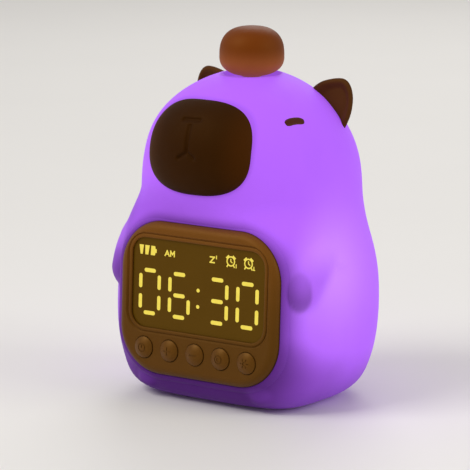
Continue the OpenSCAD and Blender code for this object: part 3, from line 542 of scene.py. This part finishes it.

# How brightly each place glows, with painted shade and highlight laid over the light from
# inside: painted shade beside, over and above all under the module, low down, at the front
# of the left flank and where an arm is thick, and a painted highlight on the toes. A ramp
# is a pair of values between which a share goes from 0 to 1. An end is an ellipse: its
# angle and height on the body, its half width and its half height.
ARM_LINE, ARM_R, ARM_RIM, ARM_FADE = ((-19, 73), (-41, 57)), 8.6, (0.55, 1.35), (60, 77)
ARM_END, ARM_END_RIM, ARM_END_DOWN = (-45.0, 56.6, 5.8, 9.4), (0.78, 1.1), (-0.9, 0.5)
TOE_END, TOE_END_RIM = (-70.0, 9.8, 6.6, 3.8), (0.5, 1.2)
END_REACH = 12
FRONT_RAMP, OVER_RAMP = (0, 20), (20, 36)
BESIDE_LEAST, BESIDE_START, BESIDE_END = 0.14, -1.9, 9.7
BELOW_WIDER, BELOW_RAMP = 16.0, (8, 30)
ABOVE_LEAST, ABOVE_RAMP = 0.3, (-2, 6.3)
SHADE_ABOVE, SHADE_REACH, SHADE_SIDE = 0.27, (6, 24), (-16, 30)
LOW_RAMP, LOW_SHADE, UNDER_SHADE = (2, 27), 0.5, 0.3
UNDER_FRONT, UNDER_SIDE = (8, 30), (20, 45)
LEFT_SHADE, LEFT_FRONT, LEFT_SIDE = 0.42, (-12, 24), (36, 54)
ARM_SHADE, ARM_END_SHADE, ARM_END_MORE, TOE_HIGHLIGHT = 0.1, 0.22, 0.3, 0.055


def arm_share(points):
    """1 within an arm, 0 off it: a smooth step across the rim of a round-ended bar that
    runs down the flank, faded out towards its upper end."""
    share = np.zeros(points.shape[:-1])
    for side in (-1, 1):
        upper, lower = (body_point(on_side(angle, side), z) for angle, z in ARM_LINE)
        s = np.clip((points - upper) @ (lower - upper) / np.sum((lower - upper) ** 2), 0, 1)
        far = np.linalg.norm(points - upper - s[..., None] * (lower - upper), axis=-1)
        rim = 1 - smoothstep(far / ARM_R, *ARM_RIM)
        share = np.maximum(share, rim * (1 - smoothstep(points[..., 2], *ARM_FADE)))
    return share


def ellipse_at(points, place, side):
    """Distance from the middle of an end, 1 on its ellipse and 9 deep within the body, and
    the share of it that runs down the slope."""
    angle, z, wide, tall = place
    origin, down, across, out = surface_frame(angle, z, side)
    away = points - origin
    ring = np.hypot(away @ across / wide, away @ down / tall)
    return np.where(away @ out > -END_REACH, ring, 9.0), away @ down / tall


def glow_and_shade_of(points):
    """Share of the full light from inside at each point, with painted shade over it. A ramp of
    painted shade in the distance from the module's outline, wider low down, passes over into
    a steeper one above the module, darkened further close above it and fading out towards
    the right. It is multiplied by painted shades in height, to the left, over the arms and
    on their ends, and a painted highlight on the toes is added."""
    flat = to_panel(points)
    x, y, z, up = points[..., 0], points[..., 1], points[..., 2], flat[..., 1]
    near = outline_distance(flat[..., 0], up, BEZEL_W, BEZEL_H, BEZEL_R)
    beside_end = BESIDE_END + BELOW_WIDER * smoothstep(-up, *BELOW_RAMP)
    beside = BESIDE_LEAST + (1 - BESIDE_LEAST) * smoothstep(near, BESIDE_START, beside_end)
    above = ABOVE_LEAST + (1 - ABOVE_LEAST) * smoothstep(near, *ABOVE_RAMP)
    close = (1 - smoothstep(near, *SHADE_REACH)) * (1 - smoothstep(x, *SHADE_SIDE))
    above *= 1 - SHADE_ABOVE * close
    round_module = beside + smoothstep(up, *OVER_RAMP) * (above - beside)
    share = 1 - smoothstep(-y, *FRONT_RAMP) * (1 - round_module)
    under = smoothstep(-y, *UNDER_FRONT) * (1 - smoothstep(x, *UNDER_SIDE))
    low = (1 - smoothstep(z, *LOW_RAMP)) * (LOW_SHADE + UNDER_SHADE * under)
    left = smoothstep(-y, *LEFT_FRONT) * smoothstep(-x, *LEFT_SIDE)
    share *= (1 - low) * (1 - LEFT_SHADE * left) * (1 - ARM_SHADE * arm_share(points))
    for side in (-1, 1):
        ring, below = ellipse_at(points, ARM_END, side)
        shade = ARM_END_SHADE + ARM_END_MORE * smoothstep(below, *ARM_END_DOWN)
        share *= 1 - shade * (1 - smoothstep(ring, *ARM_END_RIM))
        ring, _ = ellipse_at(points, TOE_END, side)
        share += TOE_HIGHLIGHT * (1 - smoothstep(ring, *TOE_END_RIM))
    return share


MUZZLE_Z, MUZZLE_W, MUZZLE_H, MUZZLE_SQUARE = 116.75, 26.9, 20.6, 2.6
FLANK_PLACE, FLANK_SPREAD, FLANK_RAMP, FLANK_OFF_ARM = (-18, 65), 26, (42, 54), 0.75
# The light from inside with its painted shade and toe highlight, at each point of the body.
glow_and_shade = glow_and_shade_of(skin)
# Painted highlight: a soft bright patch on each flank, kept off the arms.
flank = np.exp(-np.sum(((skin[..., 1:] - FLANK_PLACE) / FLANK_SPREAD) ** 2, -1))
flank *= smoothstep(np.abs(skin[..., 0]), *FLANK_RAMP) * (1 - FLANK_OFF_ARM * arm_share(skin))

# The light from inside brightens the colour and lights the surface, a painted highlight on
# each flank lights it further, and painted shade leaves a darker line along the seat of the
# muzzle, a superellipse round its middle, in the crease where it meets the body.
SEAM_WIDTH, SEAM_END, SEAM_SHADE, FLANK_HIGHLIGHT_GAIN = 0.08, (-0.03, -0.02), 0.2, 0.62
silicone, paint = new_material("glowing_silicone", Roughness=0.6, Specular_IOR_Level=0.16,
                               Specular_Tint=srgb(190, 130, 255), Emission_Strength=1.0)
x, y, z = (paint.place(axis) for axis in range(3))
across = x.math("ABSOLUTE") / (MM * MUZZLE_W)
upright = (z - MM * MUZZLE_Z).math("ABSOLUTE") / (MM * MUZZLE_H)
ring = (across.math("POWER", MUZZLE_SQUARE)
        + upright.math("POWER", MUZZLE_SQUARE)).math("POWER", 1 / MUZZLE_SQUARE)
# Painted shade: a darker line round the muzzle's outline, in the crease where the muzzle meets the
# body.
crease_shade = (1 - (ring - 1.0).math("ABSOLUTE").smooth(0.0, SEAM_WIDTH)) * (1 - y.smooth(*SEAM_END))
clouds = 0.94 + 0.12 * paint.noise(0.02, 2.0)
bright = paint.attribute("glow_and_shade") * clouds * (1 - SEAM_SHADE * crease_shade)
bright.mix(srgb(56, 13, 76), srgb(142, 78, 199)).feed("Base Color")
shine = bright.mix(srgb(10, 1, 18), srgb(133, 74, 191))
flank_highlight = FLANK_HIGHLIGHT_GAIN * paint.attribute("flank")
flank_highlight.mix(shine, srgb(190, 140, 235)).feed("Emission Color")
paint.gloss(0.5, 0.12, 0.004)
paint.grain(0.0007, 0.00006)

body_piece = make_piece("silicone_body", skin, faces, "clock", silicone,
                        ("silicone_skin",), {"glow_and_shade": glow_and_shade, "flank": flank})

# The cut edge of each opening: a strip between the rims of the outer and inner surface.
joined = bmesh.new()
joined.from_mesh(body_piece.data)
rims = [edge for edge in joined.edges if edge.is_boundary]
for end in (-1, 1):
    bmesh.ops.bridge_loops(joined, edges=[e for e in rims if e.verts[0].co.y * end > 0])
bmesh.ops.recalc_face_normals(joined, faces=joined.faces)
joined.to_mesh(body_piece.data)
joined.free()


# ---- Bead round the clock module -----------------------------------------------------
# Raised silicone lip of the same moulding that grips the module all round, and the
# rounded rim of the same moulding round the charging slot.

SIDE_STEPS, LONG_SIDE = 24, 3


def outline_path(count, wide, high, radius):
    """Points and outward directions on a rounded rectangle: four corner arcs, joined by
    straight sides, the long ones of which are divided into even steps."""
    quarter = np.linspace(0, math.pi / 2, count)
    angles = (quarter[None, :] + np.arange(4)[:, None] * math.pi / 2).ravel()
    corner_x = np.repeat([1, -1, -1, 1], count) * (wide / 2 - radius)
    corner_y = np.repeat([1, 1, -1, -1], count) * (high / 2 - radius)
    out = np.stack([np.cos(angles), np.sin(angles)], -1)
    points = np.stack([corner_x, corner_y], -1) + radius * out
    ends = np.roll(points, -1, 0)
    counts = np.where(np.linalg.norm(ends - points, axis=1) > LONG_SIDE, SIDE_STEPS, 1)
    which = np.repeat(np.arange(len(points)), counts)
    step = np.arange(len(which)) - np.repeat(np.cumsum(counts) - counts, counts)
    shares = step[:, None] / SIDE_STEPS
    return points[which] + (ends - points)[which] * shares, out[which]


def sweep_outline(profile, wide, high, radius, count=18):
    """A profile of (distance outside the outline, height) carried round the outline."""
    path, out = outline_path(count, wide, high, radius)
    away, height = np.asarray(profile, float).T
    flat = path[None] + away[:, None, None] * out[None]
    return np.concatenate([flat, np.broadcast_to(height[:, None, None],
                                                 flat.shape[:2] + (1,))], -1)


# The bead's section of (distance outside the outline, height over the clock face): up the
# wall of the opening, over a quarter round and down into the body.
BEAD_GAP, BEAD_FOOT = 0.06, -9.0
arc = np.linspace(math.pi / 2, 0, 14)
bead_profile = ([(BEAD_GAP, BEAD_FOOT), (BEAD_GAP, BEAD_TOP - 0.6), (0.2, BEAD_TOP - 0.15)]
                + [(max(BEAD * math.cos(a), 0.5), BEAD_TOP - BEAD + BEAD * math.sin(a))
                   for a in arc]
                + [(BEAD, BEAD_FOOT + 1), (BEAD - 1, BEAD_FOOT), (BEAD_GAP, BEAD_FOOT)])
bead = from_panel(sweep_outline(bead_profile, BEZEL_W, BEZEL_H, BEZEL_R))
# The bead carries the same painted shade as the body round the module, and no painted flank
# highlight.
bead_glow_and_shade = glow_and_shade_of(bead)
make_piece("silicone_bead", bead, grid_faces(*bead.shape[:2]), "clock",
           silicone, (), {"glow_and_shade": bead_glow_and_shade, "flank": 0 * bead_glow_and_shade})

# The slot's rim: a section of (distance outside the outline, depth under the surface),
# with painted shade that darkens it the deeper it lies in the slot.
RIM_SHADE, RIM_SHADE_DEPTH = 0.4, (0.3, 3)
slot_section = [(0.45, -0.03), (0.2, 0.0), (0.05, 0.12), (0, 0.3), (0, 3.3), (0.9, 3.3),
                (0.9, 0.5), (0.45, -0.03)]
rim = sweep_outline(slot_section, SLOT_W, SLOT_H, SLOT_R)
rim_y = rear_y(rim[..., 0], rim[..., 1] + SLOT_Z) - rim[..., 2]
rim = np.stack([rim[..., 0], rim_y, rim[..., 1] + SLOT_Z], -1)
rim_depth = rear_y(0 * rim_y, rim[..., 2]) - rim_y
rim_glow_and_shade = glow_and_shade_of(rim) * (1 - RIM_SHADE * smoothstep(rim_depth, *RIM_SHADE_DEPTH))
make_piece("charging_slot_rim", rim, grid_faces(*rim.shape[:2]), "clock",
           silicone, (), {"glow_and_shade": rim_glow_and_shade, "flank": 0 * rim_glow_and_shade})


# ---- Muzzle --------------------------------------------------------------------------
# Separate dark silicone patch pressed into a shallow seat on the face, with the nose and
# mouth lines sunk in it.

WARM = srgb(255, 190, 100)
MUZZLE_BULGE, MUZZLE_DEPTH, MUZZLE_CHIN, MUZZLE_TAPER = 3.1, 1.7, 0.9, 0.04
LINE_DEPTH, LINE_WIDTH = 1.0, 0.85
PAINTED_EDGE_LIGHT = (0.013, 0.028)
MUZZLE_LINES = (((-4.2, 129.5), (4.2, 129.7)), ((0.3, 127.2), (0.6, 115.8)),
                ((0.6, 115.8), (-3.8, 113.2)), ((0.6, 115.8), (4.0, 113.5)))


def disc_grid(cols, rows, crowd=0.7):
    """Radius 0 to 1 and angle over a disc from a square grid u, v: x is u times the root
    of 1 - v^2/2 and y likewise, with the lines crowded towards the edge."""
    def line(count):
        """Values -1 to 1, even ones blended with ones that crowd at both ends."""
        even = np.linspace(-1, 1, count)
        return (1 - crowd) * even + crowd * np.sin(even * math.pi / 2)
    u, v = np.meshgrid(line(cols), line(rows))
    x, y = u * np.sqrt(1 - v * v / 2), v * np.sqrt(1 - u * u / 2)
    return np.minimum(np.hypot(x, y), 1.0), np.arctan2(y, x)


def front_y(x, z):
    """Front surface of the body over x, z: the superellipse solved for y."""
    wide, front, _, square, _ = body_sizes(z)
    return -front * np.clip(1 - (np.abs(x) / wide) ** square, 0, 1) ** (1 / square)


def line_distance(x, z, lines):
    """Least distance in the face's plane to any of the straight strokes."""
    far = np.full(np.shape(x), FAR_OFF)
    for (ax, az), (bx, bz) in lines:
        s = np.clip(((x - ax) * (bx - ax) + (z - az) * (bz - az))
                    / ((bx - ax) ** 2 + (bz - az) ** 2), 0, 1)
        far = np.minimum(far, np.hypot(x - ax - s * (bx - ax), z - az - s * (bz - az)))
    return far


def closed_pad(front_side, back_side):
    """Points and faces of a pad: two grids that meet along their edges, which are merged."""
    rows, cols = front_side.shape[:2]
    points = np.concatenate([front_side.reshape(-1, 3), back_side.reshape(-1, 3)])
    faces = np.concatenate([grid_faces(rows, cols, False),
                            grid_faces(rows, cols, False, rows * cols)[:, ::-1]])
    number = np.arange(rows * cols).reshape(rows, cols)
    edge = np.concatenate([number[0], number[-1], number[:, 0], number[:, -1]])
    same = np.arange(len(points))
    same[edge + rows * cols] = edge
    return points, same[faces]


rho, angle = disc_grid(190, 160)
mx = MUZZLE_W * rho * signed_power(np.cos(angle), 2 / MUZZLE_SQUARE)
mx *= 1 - MUZZLE_TAPER * np.sin(angle)
mz = MUZZLE_Z + MUZZLE_H * rho * signed_power(np.sin(angle), 2 / MUZZLE_SQUARE)
lift = (MUZZLE_BULGE - MUZZLE_CHIN * rho * np.sin(angle)) * np.sqrt(1 - rho**5)
sunk = LINE_DEPTH * np.exp(-(line_distance(mx, mz, MUZZLE_LINES) / LINE_WIDTH) ** 2)
muzzle_front = np.stack([mx, front_y(mx, mz) - lift + sunk, mz], -1)
muzzle_back = np.stack([mx, front_y(mx, mz) + MUZZLE_DEPTH * np.sqrt(1 - rho**8), mz], -1)

dark_silicone, paint = new_material("dark_brown_silicone", Roughness=0.6,
                                    Specular_IOR_Level=0.12, Specular_Tint=WARM)
# Painted highlight: the patch is lighter towards its left and right edges, where its sides turn
# round.
painted_edge_light = paint.place(0).math("ABSOLUTE").smooth(*PAINTED_EDGE_LIGHT)
patch = 0.8 * painted_edge_light + 0.25 * paint.noise(0.012, 3.0)
patch.mix(srgb(42, 19, 2), srgb(64, 31, 5)).feed("Base Color")
paint.gloss(0.55, 0.14, 0.003)
paint.grain(0.0006, 0.00006)
points, faces = closed_pad(muzzle_front, muzzle_back)
make_piece("muzzle", points, faces, "clock", dark_silicone,
           ("muzzle_cover",))


# ---- Eyes ----------------------------------------------------------------------------
# Two short curved bars of dark moulded plastic, rounded all over. They are let into the
# head as closed eyes and stand a little proud of it.

EYE_ANGLE, EYE_Z, EYE_ARC, EYE_TURN, EYE_TILT = -22.0, 128.0, 15.0, 20.5, 0.02
EYE_HALF, EYE_DEEP, EYE_PROUD, EYE_SQUARE = 2.1, 2.8, 0.22, 4
EYE_CAP, EYE_RISE = 1.5, 0.7


def arc_bar(side):
    """A superellipse section carried along an arc on the surface. Beyond each end of the
    arc the section narrows as a circle does, so the ends close round."""
    half_turn = math.radians(EYE_TURN / 2)
    cap = EYE_CAP * EYE_HALF / EYE_ARC
    past = quarter_sine(0, 1, 16)[1:]
    turn_of = half_turn * np.linspace(-1, 1, 41)
    reach = np.concatenate([-half_turn - cap * past[::-1], turn_of, half_turn + cap * past])
    over = np.clip((np.abs(reach) - half_turn) / cap, 0, 1)
    narrow = np.sqrt(1 - over**2)[:, None]
    shallow = (1 - over**8)[:, None] ** 0.5
    section = np.linspace(0, 2 * math.pi, 36, endpoint=False)
    r = EYE_ARC + EYE_HALF * narrow * signed_power(np.cos(section), 2 / EYE_SQUARE)
    deep = shallow * signed_power(np.sin(section), 2 / EYE_SQUARE)
    rise = EYE_PROUD + EYE_DEEP / 2 * (deep - 1)
    y = -r * np.sin(reach)[:, None]
    x = EYE_ARC - EYE_RISE - r * np.cos(reach)[:, None] - EYE_TILT * y
    _, down, _, out = surface_frame(EYE_ANGLE, EYE_Z)
    per_degree = np.linalg.norm(body_point(EYE_ANGLE + 0.5, EYE_Z)
                                - body_point(EYE_ANGLE - 0.5, EYE_Z))
    bar = body_point(EYE_ANGLE + y / per_degree, EYE_Z + x * down[2]) + rise[..., None] * out
    return bar * [side, 1, 1]


eye_plastic, paint = new_material("dark_eye_plastic", Roughness=0.4, Specular_IOR_Level=0.2,
                                  Specular_Tint=WARM)
paint.noise(0.003).mix(srgb(66, 30, 22), srgb(76, 36, 26)).feed("Base Color")
paint.gloss(0.34, 0.12, 0.002)
for side, node in ((-1, "eye_left"), (1, "eye_right")):
    bar = arc_bar(side)
    make_piece(f"closed_{node}", bar, grid_faces(*bar.shape[:2]), "clock",
               eye_plastic, (node,))


# ---- Ears ----------------------------------------------------------------------------
# Two rounded triangular flaps, hollowed in front, moulded from a brown silicone. The root
# of each is sunk in the head.

EAR_RIM = np.array([[21.6, 137.9], [24.3, 140.2], [28.0, 142.0], [33.8, 143.3],
                    [37.6, 143.15], [40.2, 141.2], [41.8, 137.6], [42.3, 133.4], [41.6, 127.7],
                    [39.3, 121.8], [37.6, 119.4], [35.6, 120.5], [31.0, 127.0], [24.0, 133.0],
                    [20.6, 135.2], [20.4, 136.4]])
EAR_CENTRE = np.array([35.0, 133.6])
EAR_THICK, EAR_SCOOP, EAR_SCOOP_EDGE, EAR_SWELL = 2.0, 2.0, (0.5, 0.92), 0.9
EAR_AT, EAR_LEAN, EAR_SWEEP = (34, 16.4, 130), 0.09, 0.06


def closed_curve(corners, steps):
    """Smooth closed curve through the corners: cubic pieces whose slope at a corner is
    half the line between its two neighbours."""
    before, after, last = np.roll(corners, 1, 0), np.roll(corners, -1, 0), np.roll(corners, -2, 0)
    t = np.linspace(0, 1, steps, endpoint=False)[:, None, None]
    start, end = (after - before) / 2, (last - corners) / 2
    curve = ((2 * t**3 - 3 * t**2 + 1) * corners + (t**3 - 2 * t**2 + t) * start
             + (3 * t**2 - 2 * t**3) * after + (t**3 - t**2) * end)
    return np.moveaxis(curve, 0, 1).reshape(-1, 2)


def ear(side):
    """Pad over a disc whose rim is the ear's outline. Both faces bow out as the edge
    rounds, and the front is scooped by a shallow bowl."""
    rho, angle = disc_grid(96, 96)
    rim = closed_curve(EAR_RIM, 24) - EAR_CENTRE
    around, reach = np.arctan2(rim[:, 1], rim[:, 0]), np.hypot(rim[:, 0], rim[:, 1])
    reach = np.interp(angle, around[np.argsort(around)], reach[np.argsort(around)],
                      period=2 * math.pi)
    x = EAR_CENTRE[0] + rho * reach * np.cos(angle)
    z = EAR_CENTRE[1] + rho * reach * np.sin(angle)
    middle = EAR_AT[1] + EAR_LEAN * (z - EAR_AT[2]) + EAR_SWEEP * (x - EAR_AT[0])
    round_off = EAR_THICK * np.sqrt(1 - rho**4)
    scoop = EAR_SCOOP * (1 - smoothstep(rho, *EAR_SCOOP_EDGE))
    front_side = np.stack([side * x, middle - round_off + scoop, z], -1)
    back_side = np.stack([side * x, middle + round_off + EAR_SWELL * (1 - rho**2), z], -1)
    return closed_pad(front_side, back_side)


ear_silicone, paint = new_material("brown_ear_silicone", Roughness=0.6,
                                   Specular_IOR_Level=0.2, Specular_Tint=WARM)
paint.noise(0.008).mix(srgb(70, 39, 15), srgb(82, 47, 20)).feed("Base Color")
paint.gloss(0.55, 0.14, 0.003)
paint.grain(0.0006, 0.00006)
for side, node in ((-1, "ear_left"), (1, "ear_right")):
    points, faces = ear(side)
    make_piece(f"{node}_flap", points, faces, "clock", ear_silicone, (node,))


# ---- Orange --------------------------------------------------------------------------
# Hollow knob moulded from orange silicone and pushed over the head of the plunger.
# Pressing it works the lamp switch. The body's light shining up onto its lower half is
# painted into its colour and its emission.

ORANGE_R, ORANGE_BOTTOM, ORANGE_WIDE_Z, ORANGE_TOP = 14.5, 143.7, 152.6, 166.0
ORANGE_SQUARE_LOW, ORANGE_SQUARE_HIGH = 2.4, 2.65
COLLAR_R, COLLAR_BOTTOM = 4.8, 143.65
LIT_BELOW = (0.1455, 0.158)


def turned(profile, count):
    """A profile of (radius, height) turned about the upright axis."""
    spin = np.linspace(0, 2 * math.pi, count, endpoint=False)
    radius, height = np.asarray(profile, float).T
    return np.stack([radius[:, None] * np.cos(spin), radius[:, None] * np.sin(spin),
                     np.broadcast_to(height[:, None], (len(radius), count))], -1)


lean = np.linspace(-89.5, 89.5, 72) * math.pi / 180
squareness = 2 / np.where(lean < 0, ORANGE_SQUARE_LOW, ORANGE_SQUARE_HIGH)
reach = np.where(lean < 0, ORANGE_WIDE_Z - ORANGE_BOTTOM, ORANGE_TOP - ORANGE_WIDE_Z)
fruit = np.stack([ORANGE_R * np.cos(lean) ** squareness,
                  ORANGE_WIDE_Z + reach * signed_power(np.sin(lean), squareness)], -1)
fruit = fruit[(fruit[:, 0] > COLLAR_R + 0.3) | (lean > 0)]
collar = [(1e-3, COLLAR_BOTTOM), (COLLAR_R - 0.4, COLLAR_BOTTOM),
          (COLLAR_R - 0.1, COLLAR_BOTTOM + 0.12), (COLLAR_R, COLLAR_BOTTOM + 0.35)]
fruit = np.concatenate([collar, fruit, [(1e-3, ORANGE_TOP)]])
knob = turned(fruit, 120)
orange_silicone, paint = new_material("orange_silicone", Roughness=0.55,
                                      Specular_IOR_Level=0.25, Specular_Tint=WARM,
                                      Emission_Strength=1.0)
# Painted light: the lower half is lighter and glows, standing in for the body's light shining up
# on it.
low = (1 - paint.place(2).smooth(*LIT_BELOW)) * (0.9 + 0.2 * paint.noise(0.006))
low.mix(srgb(108, 50, 9), srgb(122, 66, 34)).feed("Base Color")
low.mix(srgb(4, 1, 0), srgb(104, 56, 30)).feed("Emission Color")
paint.gloss(0.5, 0.12, 0.003)
paint.grain(0.0011, 0.0001)
make_piece("orange_knob", knob, grid_faces(*knob.shape[:2]), "orange",
           orange_silicone, ("orange_cap",))


# ---- Clock module --------------------------------------------------------------------
# Brown moulded plastic tray with a tinted face sheet let in behind a thin trim ring and
# five domed keys. Four screws hold it to the upright of the inner frame.

WINDOW_W, WINDOW_H, WINDOW_R, WINDOW_UP = 75.0, 44.0, 9.0, 6.6
WINDOW_RIM, RIM_FOOT, RIM_TOP, GLASS_Z = 1.8, -0.9, -0.35, -1.5
PAINTED_LIGHT_ABOVE = (0.03, 0.084)

bezel_plastic, paint = new_material("bezel_plastic", Roughness=0.5, Specular_IOR_Level=0.3,
                                    Specular_Tint=WARM)
# Painted light: the plastic is lighter over its upper part, where its top edge faces up to the
# light.
high = 0.15 * paint.noise(0.01, 4.0) + 0.85 * paint.place(2).smooth(*PAINTED_LIGHT_ABOVE)
high.mix(srgb(82, 51, 12), srgb(110, 66, 20)).feed("Base Color")
paint.gloss(0.44, 0.14, 0.002)
paint.grain(0.0005, 0.00004)

# The trim ring's section of (distance outside the window, height over the clock face).
over_rim = np.linspace(0, math.pi, 15)
rim_profile = np.stack([-WINDOW_RIM / 2 * (1 - np.cos(over_rim)),
                        RIM_FOOT + (RIM_TOP - RIM_FOOT) * np.sin(over_rim)], -1)
rim_profile = np.concatenate([rim_profile, [(-WINDOW_RIM, GLASS_Z), (0, GLASS_Z)],
                              rim_profile[:1]])
window_rim = sweep_outline(rim_profile, WINDOW_W, WINDOW_H, WINDOW_R)
window_rim = from_panel(window_rim + [0, WINDOW_UP, 0])
make_piece("window_rim", window_rim, grid_faces(*window_rim.shape[:2]), "clock",
           bezel_plastic)

window_plastic, paint = new_material("window_plastic", Roughness=0.4, Specular_IOR_Level=0.25,
                                     Specular_Tint=WARM, Emission_Strength=1.0)
paint.noise(0.02, 3.0).mix(srgb(70, 46, 4), srgb(76, 51, 6)).feed("Base Color")
# Painted light: the window sheet is given a faint warm emission all over.
paint.noise(0.015, 1.0).mix(srgb(32, 22, 0), srgb(38, 27, 0)).feed("Emission Color")
paint.gloss(0.28, 0.1, 0.003)

lit_bar, paint = new_material("lit_display", Roughness=0.4, Emission_Strength=1.0)
paint.noise(0.002, 1.0).mix(srgb(226, 200, 62), srgb(240, 220, 84)).feed("Emission Color")
paint.noise(0.002, 1.0).mix(srgb(60, 50, 14), srgb(70, 60, 18)).feed("Base Color")

key_plastic, paint = new_material("key_plastic", Roughness=0.42, Specular_IOR_Level=0.4,
                                  Specular_Tint=WARM)
paint.noise(0.004, 3.0).mix(srgb(82, 50, 12), srgb(92, 57, 16)).feed("Base Color")
paint.gloss(0.38, 0.12, 0.002)


# ---- Inside parts --------------------------------------------------------------------
# White plastic mouldings, circuit boards, lamps, the cell, leads, steel screws and rubber
# feet that the body hides. They keep the shapes of the solids and get a plain finish each.

def speckled(name, first, second, size, rough, metal=0.0):
    """Plain finish: colour that wanders between two in clouds of size metres, roughness
    that wanders a little about its middle value, and a fine grain."""
    material, paint = new_material(name, Metallic=metal)
    paint.noise(size, 3.0).mix(srgb(*first), srgb(*second)).feed("Base Color")
    paint.gloss(rough - 0.06, 0.12, size * 0.4)
    paint.grain(0.0006, 0.00003, 0.4)
    return material


finishes = {
    "white_plastic": speckled("white_plastic", (222, 221, 215), (232, 231, 226), 0.012, 0.45),
    "base_plastic": speckled("base_plastic", (206, 205, 200), (218, 217, 212), 0.012, 0.5),
    "foot_rubber": speckled("foot_rubber", (34, 33, 33), (46, 45, 45), 0.004, 0.7),
    "screw_steel": speckled("screw_steel", (168, 168, 172), (192, 192, 196), 0.002, 0.3, 1.0),
    "bezel_plastic": bezel_plastic,
    "window_plastic": window_plastic,
    "lit_display": lit_bar,
    "circuit_board": speckled("circuit_board", (22, 84, 48), (32, 102, 60), 0.003, 0.4),
    "lamp_body": speckled("lamp_body", (236, 232, 214), (244, 241, 228), 0.002, 0.3),
    "black_plastic": speckled("black_plastic", (24, 24, 26), (34, 34, 36), 0.005, 0.42),
    "button_plastic": key_plastic,
    "milky_plastic": speckled("milky_plastic", (232, 230, 238), (240, 238, 245), 0.02, 0.35),
    "light_board_white": speckled("light_board_white", (228, 230, 230), (236, 238, 238),
                                  0.006, 0.4),
    "cell_wrap": speckled("cell_wrap", (42, 82, 140), (52, 94, 156), 0.01, 0.32),
    "socket_steel": speckled("socket_steel", (176, 177, 181), (196, 197, 201), 0.003, 0.28, 1.0),
    "red_lead": speckled("red_lead", (168, 28, 26), (186, 38, 34), 0.004, 0.45),
    "black_lead": speckled("black_lead", (28, 28, 30), (38, 38, 40), 0.004, 0.5),
    "white_lead": speckled("white_lead", (216, 215, 210), (228, 227, 222), 0.004, 0.5),
    "skin_silicone": silicone,
    "dark_silicone": dark_silicone,
    "eye_plastic": eye_plastic,
    "orange_silicone": orange_silicone,
}
for part in frame["record"]["subparts"]:
    mesh = frame["nodes"][part["node"]].data
    mesh.materials.clear()
    mesh.materials.append(finishes[part["material_slot"]])
